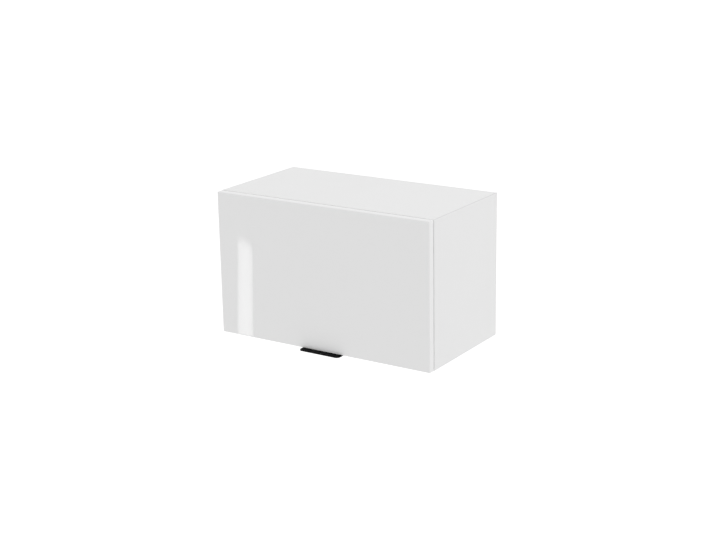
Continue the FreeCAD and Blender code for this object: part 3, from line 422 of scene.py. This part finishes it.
class Finish:
    """A finish in the making: one shader, fed by patterns on Object coordinates."""

    def __init__(self, name, colour, roughness, metallic=0.0):
        self.colour = tuple(colour)
        self.material = bpy.data.materials.new(name)
        self.material.use_nodes = True
        self.material.diffuse_color = (*self.colour, 1)
        self.tree = self.material.node_tree
        self.skin = self.tree.nodes["Principled BSDF"]
        self.places = self.add("TexCoord", {})
        self.relief = None
        self.feed(Base_Color=(*self.colour, 1), Roughness=roughness, Metallic=metallic)

    def add(self, kind, sockets, **settings):
        """A node in this finish."""
        return add_node(self.tree, kind, sockets, **settings)

    def reckon(self, operation, *values):
        """One arithmetic step on one or two values."""
        return self.add("Math", dict(enumerate(values)), operation=operation).outputs[0]

    def times(self, first, second):
        """Two values multiplied."""
        return self.reckon("MULTIPLY", first, second)

    def larger(self, first, second):
        """The larger of two values."""
        return self.reckon("MAXIMUM", first, second)

    def over(self, value, limit):
        """1 where a value is over the limit, and 0 elsewhere."""
        return self.reckon("GREATER_THAN", value, limit)

    def part(self, place, axis):
        """One of the three numbers of the Object or Normal coordinate."""
        return self.add("SeparateXYZ", {0: self.places.outputs[place]}).outputs["XYZ".index(axis)]

    def stretched(self, stretch):
        """The Object coordinate, stretched along its axes."""
        return self.add("Mapping", {"Vector": self.places.outputs["Object"], "Scale": stretch}).outputs[0]

    def grain(self, scale, detail=2.0, stretch=(1, 1, 1)):
        """Soft noise of about that many waves a metre, from 0 to 1."""
        return self.add("TexNoise", {"Vector": self.stretched(stretch), "Scale": scale,
                                     "Detail": detail}).outputs[0]

    def cells(self, scale, stretch=(1, 1, 1)):
        """Cells of about that many a metre, each with a number of its own from 0 to 1."""
        cells = self.add("TexVoronoi", {"Vector": self.stretched(stretch), "Scale": scale})
        return self.add("SeparateColor", {0: cells.outputs["Color"]}).outputs[0]

    def span(self, value, low, high, start=0.0, end=1.0):
        """The value taken from the span start to end on to the span low to high."""
        return self.add("MapRange", {"Value": value, "From Min": start, "From Max": end, "To Min": low,
                                     "To Max": high}).outputs[0]

    def between(self, share, first, second):
        """A colour that goes from the first to the second as the share goes from 0 to 1."""
        ends = [(*c, 1) if isinstance(c, tuple) else c for c in (first, second)]
        return self.add("Mix", {0: share, 6: ends[0], 7: ends[1]}, data_type="RGBA").outputs[2]

    def shades(self, share, dark, light):
        """The finish's own colour, times dark to light as the share goes from 0 to 1."""
        return self.between(share, shade(self.colour, dark), shade(self.colour, light))

    def feed(self, **sockets):
        """Gives the shader's sockets, whose spaces are written as underscores, a value or a pattern."""
        plug(self.tree, self.skin, {key.replace("_", " "): value for key, value in sockets.items()})

    def show(self, shader):
        """Makes another shader the surface."""
        plug(self.tree, self.tree.nodes["Material Output"], {"Surface": shader.outputs[0]})

    def raise_by(self, height, distance, strength):
        """Lays a relief of that height over the ones before it."""
        sockets = {"Height": height, "Distance": distance, "Strength": strength}
        if self.relief:
            sockets["Normal"] = self.relief
        self.relief = self.add("Bump", sockets).outputs[0]
        self.feed(Normal=self.relief)


def melamine_finish(colours):
    """Satin melamine: a fine pearl grain, a slightly uneven gloss, and a thin darker line along the outer
    corners at the top and the back; on the back edges, which were never covered, bare chipboard with its
    chips of several browns."""
    f = Finish("satin_melamine", colours.board, 0.4)
    bare = f.times(f.over(f.part("Normal", "Y"), 0.6), f.over(f.part("Object", "Y"), -0.0016))
    half_wide, top, start, end = 0.3, 0.048, 0.0012, 0.0003
    across = f.span(f.reckon("ABSOLUTE", f.part("Object", "X")), 0, 1, half_wide - start, half_wide - end)
    high = f.span(f.part("Object", "Z"), 0, 1, top - start, top - end)
    deep = f.span(f.part("Object", "Y"), 0, 1, -start, -end)
    line = f.larger(f.times(across, high), f.times(across, deep))
    paper = f.between(line, f.shades(f.grain(9, 3), 0.988, 1.006), shade(f.colour, 0.8))
    flakes = f.cells(420, (0.6, 1, 1))
    chipboard = f.between(flakes, shade(colours.chips, 0.5), shade(colours.chips, 1.25))
    f.feed(Base_Color=f.between(bare, paper, chipboard), Specular_IOR_Level=0.3,
           Roughness=f.larger(f.span(f.grain(35), 0.36, 0.44), f.times(bare, 0.85)))
    f.raise_by(f.grain(1500), 0.00003, 0.5)
    f.raise_by(f.times(bare, flakes), 0.0004, 0.8)
    return f


def band_finish(colours):
    """Satin plastic band: a whisper of ripple from the edge machine's scraper, a little glossier than the
    boards."""
    f = Finish("white_band", colours.band, 0.3)
    f.feed(Base_Color=f.shades(f.grain(25), 0.99, 1.01), Roughness=f.span(f.grain(120), 0.26, 0.34))
    f.raise_by(f.grain(90), 0.00002, 0.5)
    return f


def hardboard_finish(colours):
    """Thin back panel: white lacquer with a faint roller grain on the face that looks into the cabinet, and
    bare brown fibreboard with the press screen's weave on the face that looks at the wall."""
    f = Finish("lacquered_hardboard", colours.lacquer, 0.38)
    rear = f.over(f.part("Normal", "Y"), -0.5)
    wool = f.between(f.grain(160, 4), shade(colours.fibre, 0.72), shade(colours.fibre, 1.3))
    f.feed(Base_Color=f.between(rear, f.shades(f.grain(14, 3), 0.985, 1.01), wool),
           Roughness=f.larger(f.span(f.grain(60), 0.34, 0.42), f.times(rear, 0.8)))
    mesh_wide = 0.0014
    threads = [f.reckon("SINE", f.times(f.part("Object", axis), 2 * math.pi / mesh_wide)) for axis in "XZ"]
    f.raise_by(f.grain(700), 0.00004, 0.5)
    f.raise_by(f.times(f.times(*threads), rear), 0.00025, 0.7)
    return f


def foil_finish(colours):
    """The door: gloss foil with the faint orange peel of the pressed board under it, and satin white paper on
    the face that looks into the cabinet."""
    f = Finish("gloss_foil", colours.foil, 0.03)
    inside = f.over(f.part("Normal", "Y"), 0.6)
    f.feed(Base_Color=f.shades(f.grain(7), 0.995, 1.004),
           Roughness=f.larger(f.span(f.grain(20), 0.02, 0.035), f.times(inside, 0.4)))
    f.raise_by(f.grain(40, 1), 0.00002, 0.2)
    f.raise_by(f.times(f.grain(1500), inside), 0.00003, 0.5)
    return f


def powder_finish(colours):
    """Satin black powder coat: the fine flow texture of baked powder, with a slightly uneven sheen."""
    f = Finish("black_powder_coat", colours.pull, 0.5)
    f.feed(Base_Color=f.shades(f.grain(60, 3), 0.15, 0.45), Roughness=f.span(f.grain(240), 0.44, 0.56),
           Specular_IOR_Level=0.03)
    f.raise_by(f.grain(2600), 0.00004, 0.6)
    return f


def beech_finish(colours):
    """Beech: pale long grain along the dowel with short darker flecks."""
    f = Finish("beech_dowel", colours.beech, 0.6)
    lines = f.grain(900, 4, (0.06, 1, 1))
    flecks = f.span(f.grain(1500, 1, (0.12, 1, 1)), 0, 1, 0.58, 0.66)
    f.feed(Base_Color=f.between(flecks, f.shades(lines, 0.8, 1.15), shade(f.colour, 0.5)))
    f.raise_by(lines, 0.0001, 0.6)
    return f


def zinc_finish(colours):
    """Zinc plate: a mottled bluish grey of crystals, with drawn lines along the strip it was cut from."""
    f = Finish("zinc_plate", colours.zinc, 0.36, 1.0)
    tint = f.cells(180)
    cool = tuple(c * share for c, share in zip(f.colour, (0.93, 0.97, 1.04)))
    f.feed(Base_Color=f.between(tint, cool, shade(f.colour, 1.12)),
           Roughness=f.span(f.times(tint, f.grain(70, 3)), 0.26, 0.62))
    f.raise_by(f.grain(2600, 2, (0.03, 1, 1)), 0.00003, 0.6)
    return f


def nickel_finish(colours):
    """Nickel plate on stamped steel: warm grey, smooth, with the soft waviness of a stamping and fine rubbed
    lines."""
    f = Finish("nickel_plate", colours.nickel, 0.24, 1.0)
    f.feed(Base_Color=f.shades(f.grain(70, 3), 0.93, 1.06), Roughness=f.span(f.grain(160, 3), 0.18, 0.34))
    f.raise_by(f.grain(240, 1), 0.00005, 0.5)
    f.raise_by(f.grain(3200, 2, (1, 0.05, 1)), 0.00002, 0.4)
    return f


def screw_finish(colours):
    """Nickel plated screws: bright, with small handling marks."""
    f = Finish("screw_plate", colours.screw, 0.26, 1.0)
    f.feed(Base_Color=f.shades(f.grain(500, 3), 0.86, 1.1), Roughness=f.span(f.grain(900, 3), 0.16, 0.4))
    f.raise_by(f.grain(2400), 0.00003, 0.4)
    return f


def spring_finish(colours):
    """Oiled spring steel: dark and streaked, with a thin film of grease."""
    f = Finish("oiled_spring", colours.spring, 0.3, 1.0)
    f.feed(Base_Color=f.shades(f.grain(700, 3), 0.6, 1.2), Roughness=f.span(f.grain(300), 0.2, 0.42),
           Coat_Weight=0.3)
    f.raise_by(f.grain(3000), 0.00003, 0.5)
    return f


def moulded_finish(name, colour, scale):
    """Moulded plastic: the spark-eroded grain of the mould, and faint flow clouds."""
    f = Finish(name, colour, 0.42)
    f.feed(Base_Color=f.shades(f.grain(45, 3), 0.965, 1.03), Roughness=f.span(f.grain(scale), 0.36, 0.5))
    f.raise_by(f.grain(scale, 3), 0.00006, 0.6)
    return f


def gel_finish(colours):
    """Soft clear bumper: cloudy gel that lets some of the white behind it through, with dust on its skin."""
    f = Finish("bumper_gel", colours.gel, 0.22)
    f.feed(Base_Color=f.shades(f.grain(900), 0.95, 1.12), Roughness=f.span(f.grain(1500), 0.16, 0.34),
           Transmission_Weight=0.55, IOR=1.43)
    f.raise_by(f.grain(900, 1), 0.00003, 0.5)
    return f


FINISHES = {
    "white_board": melamine_finish,
    "edge_band": band_finish,
    "white_hardboard": hardboard_finish,
    "gloss_front": foil_finish,
    "black_metal": powder_finish,
    "beech": beech_finish,
    "zinc_steel": zinc_finish,
    "nickel_steel": nickel_finish,
    "screw_steel": screw_finish,
    "spring_steel": spring_finish,
    "grey_plastic": lambda colours: moulded_finish("grey_moulding", colours.grey, 1400),
    "white_plastic": lambda colours: moulded_finish("white_moulding", colours.moulded, 1700),
    "clear_rubber": gel_finish,
}
made_finishes = {}


def finish_of(slot):
    """The finish of a material slot, made on first use."""
    if slot not in made_finishes:
        made_finishes[slot] = FINISHES[slot](bpy.context.scene.cabinet_colours).material
    return made_finishes[slot]


def dress(*slots):
    """Puts each slot's finish on every CAD node that has that slot."""
    for part in frame["record"]["subparts"]:
        slot = part["material_slot"]
        if slot in slots:
            frame["nodes"][part["node"]].material_slots[0].material = finish_of(slot)


# Pieces


def on_both_sides(shell, up, *places, steps=(0,)):
    """A shell at each place of the right side, and on the left side the same with x turned round; where
    there are steps, it stands that far beside each place."""
    return [set_down(shell, (side * x + step, y, z), (side * up[0], up[1], up[2]))
            for side, _ in SIDES for x, y, z in places for step in steps]


def laid_inside(cap, side, x, y, z):
    """A cap at its place on a fitting of that side, looking at the middle of the cabinet."""
    points, faces = cap
    return np.stack([side * (x - points[:, 2]), y + points[:, 0], z + points[:, 1]], 1), faces


class CABINET_OT_carcass(bpy.types.Operator):
    """Boards, edge bands, back panel and dowels in their finishes"""
    bl_idname = "cabinet.carcass"
    bl_label = "Carcass"

    def execute(self, context):
        dress("white_board", "edge_band", "white_hardboard", "beech")
        places = [(266, y, z) for y in (-223, -97) for z in (40, -304)]
        pegs = on_both_sides(fluted_dowel(4, 30), (1, 0, 0), *places)
        make_piece("fluted_pegs", pegs, "carcass", "beech", "dowels")
        return {"FINISHED"}


class CABINET_OT_door(bpy.types.Operator):
    """The gloss door"""
    bl_idname = "cabinet.door"
    bl_label = "Door"

    def execute(self, context):
        dress("gloss_front")
        return {"FINISHED"}


def bent_pull(sizes):
    """The edge pull: an outline of a rectangle with round corners, its width across the door and its height
    the sheet's thickness, carried down the leg, round the bend and out along the lip. The width shrinks over
    the lip's round front corners, and both shrink by a quarter circle at the two ends."""
    half_wide, lip, corner, leg, back = 57.5, 2.5, 10.0, PULL_LEG, PULL_BACK
    front, bottom = -337.5, PULL_TOP - 22.5
    edge, inner = sizes.pull_edge / MM, sizes.pull_bend / MM
    rounding = edge * (1 - np.cos(quarter(6)))
    bend_y, bend_z = back - leg - inner, bottom + lip + inner
    down = PULL_TOP - np.r_[rounding, np.linspace(edge, PULL_TOP - bend_z, 5)[1:]]
    turn = quarter(10)[1:]
    curve = corner * (1 - np.cos(quarter(14)))
    out = front + np.r_[curve[::-1][:-5], rounding[::-1]]  # the edge stands in for the curve's last five
    out = np.r_[np.linspace(bend_y, out[0], 5)[1:-1], out]
    y = np.r_[np.full(len(down), back - leg / 2), bend_y + (inner + leg / 2) * np.cos(turn), out]
    z = np.r_[down, bend_z - (inner + lip / 2) * np.sin(turn), np.full(len(out), bottom + lip / 2)]
    normal_y = np.r_[np.ones(len(down)), np.cos(turn), np.zeros(len(out))][:, None]
    normal_z = np.r_[np.zeros(len(down)), -np.sin(turn), -np.ones(len(out))][:, None]
    thick = np.r_[np.full(len(down), leg), np.linspace(leg, lip, len(turn)), np.full(len(out), lip)]
    to_top, to_front = np.maximum(PULL_TOP - z, 0), np.maximum(y - front, 0)
    inset = [edge - np.sqrt(edge ** 2 - np.clip(edge - far, 0, edge) ** 2) for far in (to_top, to_front)]
    inset = np.where(np.arange(len(y)) < len(down), *inset)
    wide = half_wide - corner + np.sqrt(corner ** 2 - np.clip(corner - to_front, 0, corner) ** 2) - inset
    cut = rounded_box(wide, thick / 2 - inset, np.maximum(edge - inset, 0.03), 6)
    return ring_shell(np.stack([cut[..., 0], y[:, None] + cut[..., 1] * normal_y,
                                z[:, None] + cut[..., 1] * normal_z], 2))


class CABINET_OT_edge_pull(bpy.types.Operator):
    """The black edge pull and its two screws"""
    bl_idname = "cabinet.edge_pull"
    bl_label = "Edge pull"

    def execute(self, context):
        sizes = context.scene.cabinet_sizes
        make_piece("pull_plate", [bent_pull(sizes)], "door", "black_metal", "edge_pull")
        sunk = cross_screw(sizes, 3.4, 0.15, 0.1, 1.9, 13.0, sunk=True)
        screws = on_both_sides(sunk, WALL_SIDE, (48, PULL_BACK, PULL_TOP - 10))
        make_piece("pull_screws", screws, "door", "screw_steel", "edge_pull_screws")
        return {"FINISHED"}


class CABINET_OT_screws(bpy.types.Operator):
    """Cross-headed screws of the hinges, stays and brackets"""
    bl_idname = "cabinet.screws"
    bl_label = "Screws"

    def execute(self, context):
        sizes = context.scene.cabinet_sizes
        pan = cross_screw(sizes, 3.5, 0.7, 1.3, 2.0, 11.0)
        setting = cross_screw(sizes, 3.6, 0.5, 1.5, 2.4, 10.5)
        cup = on_both_sides(pan, WALL_SIDE, (HINGE_X, DOOR_BACK + FLANGE, CUP_Z), steps=(-23, 23))
        wing = on_both_sides(pan, DOWN, (HINGE_X, WINGS_Y, WINGS_Z), steps=(-17, 17))
        arm = on_both_sides(setting, DOWN, *[(HINGE_X, y, 21) for y in (-276, -254)])
        stay = on_both_sides(pan, (-1, 0, 0), *[(HOUSING_X, STAY[0] + y, STAY[1] + z)
                                                for y, z in ((39, -35), (39, 13), (-17, -35))])
        foot = on_both_sides(pan, WALL_SIDE, *[(x, DOOR_BACK + FOOT, BRACKET[1] + z)
                                               for x in (248.2, 270.2) for z in (-12, 12)])
        make_piece("cup_screws", cup, "door", "screw_steel", "hinge_cup_screws")
        make_piece("plate_screws", wing, "carcass", "screw_steel", "hinge_plate_screws")
        make_piece("arm_screws", arm, "carcass", "screw_steel", "hinge_arm_screws")
        make_piece("stay_screws", stay, "carcass", "screw_steel", "lift_screws")
        make_piece("foot_screws", foot, "door", "screw_steel", "bracket_screws")
        return {"FINISHED"}


class CABINET_OT_hinges(bpy.types.Operator):
    """Hinge cups, mounting plates and axles"""
    bl_idname = "cabinet.hinges"
    bl_label = "Hinges"

    def execute(self, context):
        cheek, cheek_place = rounded_box(2.6, 2.9, 1.6), HINGE - (0.2, 0.9)
        for side, name in SIDES:
            middle = side * HINGE_X
            cup = [set_down(hinge_cup(), (middle, DOOR_BACK, CUP_Z), WALL_SIDE)]
            cup += [slab(cheek, x - 0.5, x + 0.5, 0.15, 1, cheek_place) for x in (middle - 7.9, middle + 7.9)]
            make_piece(f"cup_{name}", cup, "door", "nickel_steel", f"hinge_cup_{name}")
            base = plate(rounded_box(8, 23, 2.5), 29, CEILING, 0.7)
            wings = plate(rounded_box(24, 6.5, 4), WINGS_Z, CEILING, 0.5)
            mount = [set_down(base, (middle, -265, 0), UP), set_down(wings, (middle, WINGS_Y, 0), UP)]
            make_piece(f"mounting_plate_{name}", mount, "carcass", "nickel_steel", f"hinge_plate_{name}")
        pin = rivet(1.2, 1.2, 0.3, -8.25, 8.25, 0.1)
        pins = [set_down(pin, (side * HINGE_X, *HINGE), (1, 0, 0)) for side, _ in SIDES]
        make_piece("hinge_pins", pins, "door", "nickel_steel", "hinge_axles")
        return {"FINISHED"}


def stay_cover():
    """The stay's cover: its field is sunk by 0.45 mm inside the border, round a boss at the axle."""
    def relief(y, z, share):
        field = np.clip((0.9 - share) / 0.025, 0, 1)
        boss = np.clip((11.5 - np.hypot(y + COVER_STEP, z - COVER_STEP)) / 0.8, 0, 1)
        return 0.45 * (boss - field)
    return relief_cap(39, 35, 3, 0.5, 60, relief)


class CABINET_OT_stays(bpy.types.Operator):
    """Levers, links, brackets, pins and covers of the two lift stays"""
    bl_idname = "cabinet.stays"
    bl_label = "Lift stays"

    def execute(self, context):
        cover_place = STAY + (COVER_STEP, -COVER_STEP)
        for side, name in SIDES:
            lever = slab(strap(STAY, ELBOW, 7, 1.6), *LEVER_X, 0.7, side)
            link = slab(strap(ELBOW, BRACKET, 6, 1.4), *LINK_X, 0.7, side)
            foot = plate(rounded_box(17, 20, 4), 0, FOOT, 0.6)
            foot = set_down(foot, (side * 259.2, DOOR_BACK, BRACKET[1]), WALL_SIDE)
            stand = slab(ear(DOOR_BACK + 0.2, 11, BRACKET[0], 6.5), *LEVER_X, 0.6, side, (0, BRACKET[1]))
            cover = laid_inside(stay_cover(), side, 268, *cover_place)
            make_piece(f"stay_lever_{name}", [lever], "lift_levers", "nickel_steel", f"lift_lever_{name}")
            make_piece(f"stay_link_{name}", [link], "lift_links", "nickel_steel", f"lift_link_{name}")
            make_piece(f"bracket_{name}", [foot, stand], "door", "nickel_steel", f"door_bracket_{name}")
            make_piece(f"stay_cover_{name}", [cover], "carcass", "grey_plastic", f"lift_cover_{name}")
        pin, axle = rivet(3, 5, 1.5, 258, LEVER_X[1], spread=0.45), rivet(4, 5.2, 0.4, 262.6, HOUSING_X, 0.15)
        for name, shell, place, body, node in (("elbow_rivets", pin, ELBOW, "lift_levers", "elbow_pins"),
                                               ("bracket_rivets", pin, BRACKET, "door", "bracket_pins"),
                                               ("stay_axles", axle, STAY, "lift_levers", "lift_axles")):
            make_piece(name, on_both_sides(shell, (1, 0, 0), (0, *place)), body, "nickel_steel", node)
        return {"FINISHED"}


def hanger_cap():
    """The hanger's cap: its field is sunk by 0.35 mm inside the border, and a round notch at one end by
    0.5 mm more."""
    def relief(y, z, share):
        field = np.clip((0.88 - share) / 0.03, 0, 1)
        return -0.35 * field - 0.5 * np.clip((6 - np.hypot(y + 27, z)) / 1.2, 0, 1)
    return relief_cap(27.5, 21, 3.5, 0.6, 44, relief)


class CABINET_OT_hangers(bpy.types.Operator):
    """Cover caps of the two hangers"""
    bl_idname = "cabinet.hangers"
    bl_label = "Hangers"

    def execute(self, context):
        for side, name in SIDES:
            cap = laid_inside(hanger_cap(), side, 264, -47.5, 10)
            make_piece(f"hanger_cap_{name}", [cap], "carcass", "white_plastic", f"hanger_cover_{name}")
        return {"FINISHED"}


class CABINET_OT_springs(bpy.types.Operator):
    """Coil springs of the two stays"""
    bl_idname = "cabinet.springs"
    bl_label = "Springs"

    def execute(self, context):
        sizes = context.scene.cabinet_sizes
        wire, outside, half_long = sizes.coil_wire / MM, 11, 4
        end = half_long - wire / 2
        winding = coil(outside - wire / 2, wire, sizes.coil_turns, -end, end)
        for side, name in SIDES:
            make_piece(f"stay_coil_{name}", [set_down(winding, (side * 278, *STAY), (side, 0, 0))], "carcass",
                       "spring_steel", f"lift_spring_{name}")
        return {"FINISHED"}


class CABINET_OT_caps(bpy.types.Operator):
    """Cover caps of the cam locks, and the soft bumpers behind the door"""
    bl_idname = "cabinet.caps"
    bl_label = "Caps and bumpers"

    def execute(self, context):
        lid = turned([(0.01, 0.72), (2, 0.74), (6.2, 0.7), (6.5, 0.98), (7.4, 1.0), (8.1, 0.85), (8.42, 0.5),
                      (8.5, 0.2), (8.5, 0), (0.01, 0)])
        caps = [set_down(lid, (side * 250, y, z), (0, 0, up)) for side, _ in SIDES for y in (-255, -65)
                for z, up in ((CEILING, -1), (FLOOR_Z, 1))]
        make_piece("cam_caps", caps, "carcass", "white_plastic", "cam_covers")
        bow = np.stack([3.0 + np.cos(quarter(9)), 1.2 + np.sin(quarter(9))], 1)
        pad = turned(np.r_[[(4, 0)], bow, [(0.01, 2.2)]][::-1])
        make_piece("bumper_pads", on_both_sides(pad, WALL_SIDE, (292, DOOR_BACK, PULL_TOP + 10)), "door",
                   "clear_rubber", "door_bumpers")
        return {"FINISHED"}


class CABINET_OT_fittings(bpy.types.Operator):
    """Hinges, stays, hangers, rail and connectors in their finishes"""
    bl_idname = "cabinet.fittings"
    bl_label = "Fittings"

    def execute(self, context):
        dress("zinc_steel", "nickel_steel", "screw_steel", "spring_steel", "grey_plastic", "white_plastic",
              "clear_rubber", "black_metal")
        return {"FINISHED"}


class CABINET_OT_stage(bpy.types.Operator):
    """Pale floor, soft studio light and the camera"""
    bl_idname = "cabinet.stage"
    bl_label = "Stage"

    def execute(self, context):
        stage = context.scene.cabinet_stage
        context.scene.view_settings.view_transform = "Standard"
        lay_floor(stage)
        light_world(stage)
        hang_key_lamp(stage)
        hang_strip_card(stage)
        place_camera()
        return {"FINISHED"}


# Stage: camera, floor and lamps

CAMERA_AZIMUTH, CAMERA_HEIGHT, CAMERA_ROLL = (math.radians(turn) for turn in (33.3364, 16.3634, -1.0117))
CAMERA_DISTANCE, CAMERA_RIGHT, CAMERA_UP = 3.7166, -0.083, -0.182
FOCAL_PIXELS, IMAGE_WIDTH = 1477.57, 716
SENSOR_MM = 36.0


def turned_to(right, up, back, place):
    """The matrix of a camera or lamp at a place, which looks away from back."""
    turn = Matrix(np.stack([right, up, back], 1).tolist()).to_4x4()
    return Matrix.Translation(place.tolist()) @ turn


def place_camera():
    """The camera at the photograph's viewing angle: its backward direction comes from azimuth and height, and
    the roll turns the other two."""
    back = np.array([math.sin(CAMERA_AZIMUTH) * math.cos(CAMERA_HEIGHT),
                     -math.cos(CAMERA_AZIMUTH) * math.cos(CAMERA_HEIGHT), math.sin(CAMERA_HEIGHT)])
    right = np.array([math.cos(CAMERA_AZIMUTH), math.sin(CAMERA_AZIMUTH), 0])
    up = np.cross(back, right)
    c, s = math.cos(CAMERA_ROLL), math.sin(CAMERA_ROLL)
    right, up = c * right + s * up, c * up - s * right
    place = right * CAMERA_RIGHT + up * CAMERA_UP + back * CAMERA_DISTANCE
    camera = add_object("camera", bpy.data.cameras.new("camera"))
    camera.data.sensor_width = SENSOR_MM
    camera.data.lens = FOCAL_PIXELS * SENSOR_MM / IMAGE_WIDTH
    camera.matrix_world = turned_to(right, up, back, place)
    bpy.context.scene.camera = camera


def seen_rays(tree):
    """1 for rays from the camera, and for those mirrored or let through on their way to it."""
    rays = add_node(tree, "LightPath", {}).outputs
    total = rays["Is Camera Ray"]
    for name in ("Is Glossy Ray", "Is Transmission Ray"):
        total = add_node(tree, "Math", {0: total, 1: rays[name]}, operation="MAXIMUM").outputs[0]
    return total


def set_up(name, points, faces, paint):
    """A surface of the studio, which is no part of the cabinet."""
    mesh = bpy.data.meshes.new(name)
    mesh.from_pydata(points, [], faces)
    mesh.materials.append(paint)
    surface = add_object(name, mesh)
    return surface


def lay_floor(stage):
    """A pale floor that looks white and keeps the cabinet's shadow."""
    reach, lift = 30.0, 0.38
    paint = Finish("pale_floor", (0.84, 0.84, 0.84), 0.8)
    paint.feed(Base_Color=paint.between(paint.grain(3), (0.83, 0.83, 0.83), (0.85, 0.85, 0.85)))
    glow = paint.add("Emission", {"Strength": paint.times(seen_rays(paint.tree), lift)})
    paint.show(paint.add("AddShader", {0: paint.skin.outputs[0], 1: glow.outputs[0]}))
    corners = [(x * reach, y * reach, -stage.floor_drop) for x, y in ((-1, -1), (1, -1), (1, 1), (-1, 1))]
    set_up("floor", corners, [(0, 1, 2, 3)], paint.material)


def light_world(stage):
    """Even light from all round, and a background that looks white."""
    white = (1, 1, 1, 1)
    world = bpy.data.worlds.new("studio")
    bpy.context.scene.world = world
    world.use_nodes = True
    tree = world.node_tree
    lit, shown = tree.nodes["Background"], add_node(tree, "Background", {"Color": white, "Strength": 1.0})
    plug(tree, lit, {"Color": white, "Strength": stage.sky})
    either = add_node(tree, "MixShader", {0: seen_rays(tree), 1: lit.outputs[0], 2: shown.outputs[0]})
    plug(tree, tree.nodes["World Output"], {"Surface": either.outputs[0]})


def hang_key_lamp(stage):
    """A large lamp high on the right, which lights the top and that side a little more than the front."""
    place, target, wide = np.array([3.1, 0.3, 1.85]), np.array([0.1, -0.15, -0.1]), 2.4
    lamp = add_object("key_lamp", bpy.data.lights.new("key_lamp", "AREA"))
    lamp.data.shape = "SQUARE"
    lamp.data.size, lamp.data.energy = wide, stage.key
    back = (place - target) / np.linalg.norm(place - target)
    right = np.cross((0, 0, 1), back)
    right /= np.linalg.norm(right)
    lamp.matrix_world = turned_to(right, np.cross(back, right), back, place)


def hang_strip_card(stage):
    """A tall narrow card low on the left, which the gloss door mirrors as a bright strip: a grid between four
    corners. Its glow rises and falls across as a sine, fades out at the right edge and sets in at the top."""
    top_left, top_right, low_left, low_right = np.array([
        (-1.0095, -1.3, -0.3796), (-0.9461, -1.3, -0.4043), (-1.033, -1.3, -0.86), (-0.9625, -1.3, -0.86)])
    cells, fade, onset = 24, 0.12, 0.1
    rows = cells + 1
    across, down = np.meshgrid(np.linspace(0, 1, rows), np.linspace(0, 1, rows))
    u, v = across.ravel()[:, None], down.ravel()[:, None]
    points = (1 - v) * ((1 - u) * top_left + u * top_right) + v * ((1 - u) * low_left + u * low_right)
    here = (np.arange(cells)[:, None] * rows + np.arange(cells)).ravel()
    faces = np.stack([here, here + 1, here + rows + 1, here + rows], 1)
    paint = Finish("strip_glow", (1, 1, 1), 1.0)
    amount = paint.add("Attribute", {}, attribute_name="glow").outputs["Fac"]
    paint.show(paint.add("Emission", {"Strength": paint.times(amount, stage.strip)}))
    paint.tree.nodes.remove(paint.skin)
    card = set_up("strip_card", points.tolist(), faces.tolist(), paint.material)
    card.visible_camera = card.visible_diffuse = card.visible_shadow = False
    side = (0.74 + 0.26 * np.sin(math.pi * u ** 0.9)) * np.clip((1 - u) / fade, 0, 1)
    glow = card.data.attributes.new("glow", "FLOAT", "POINT")
    glow.data.foreach_set("value", (side * np.clip(0.3 + v / onset, 0, 1)).ravel().astype(np.float32))


CLASSES = (CabinetColours, CabinetSizes, CabinetStage, CABINET_OT_stage, CABINET_OT_carcass, CABINET_OT_door,
           CABINET_OT_edge_pull, CABINET_OT_fittings, CABINET_OT_hinges, CABINET_OT_stays, CABINET_OT_hangers,
           CABINET_OT_screws, CABINET_OT_springs, CABINET_OT_caps)


class CABINET_PT_panel(bpy.types.Panel):
    """Sizes, colours and the pieces to make"""
    bl_idname = "CABINET_PT_panel"
    bl_label = "Wall cabinet"
    bl_space_type = "VIEW_3D"
    bl_region_type = "UI"
    bl_category = "Cabinet"

    def draw(self, context):
        scene = context.scene
        for group in (scene.cabinet_sizes, scene.cabinet_colours, scene.cabinet_stage):
            box = self.layout.box()
            for name in group.bl_rna.properties.keys():
                if name not in ("rna_type", "name"):
                    box.prop(group, name)
        for made in CLASSES:
            if issubclass(made, bpy.types.Operator):
                self.layout.operator(made.bl_idname)


def register():
    for made in CLASSES + (CABINET_PT_panel,):
        bpy.utils.register_class(made)
    bpy.types.Scene.cabinet_colours = bpy.props.PointerProperty(type=CabinetColours)
    bpy.types.Scene.cabinet_sizes = bpy.props.PointerProperty(type=CabinetSizes)
    bpy.types.Scene.cabinet_stage = bpy.props.PointerProperty(type=CabinetStage)


def unregister():
    del bpy.types.Scene.cabinet_colours, bpy.types.Scene.cabinet_sizes, bpy.types.Scene.cabinet_stage
    for made in reversed(CLASSES + (CABINET_PT_panel,)):
        bpy.utils.unregister_class(made)


def main():
    register()
    bpy.ops.cabinet.stage()
    bpy.ops.cabinet.carcass()
    bpy.ops.cabinet.door()
    bpy.ops.cabinet.edge_pull()
    bpy.ops.cabinet.fittings()
    bpy.ops.cabinet.hinges()
    bpy.ops.cabinet.stays()
    bpy.ops.cabinet.hangers()
    bpy.ops.cabinet.screws()
    bpy.ops.cabinet.springs()
    bpy.ops.cabinet.caps()
    bpy.context.view_layer.update()


if __name__ == "__main__":
    main()
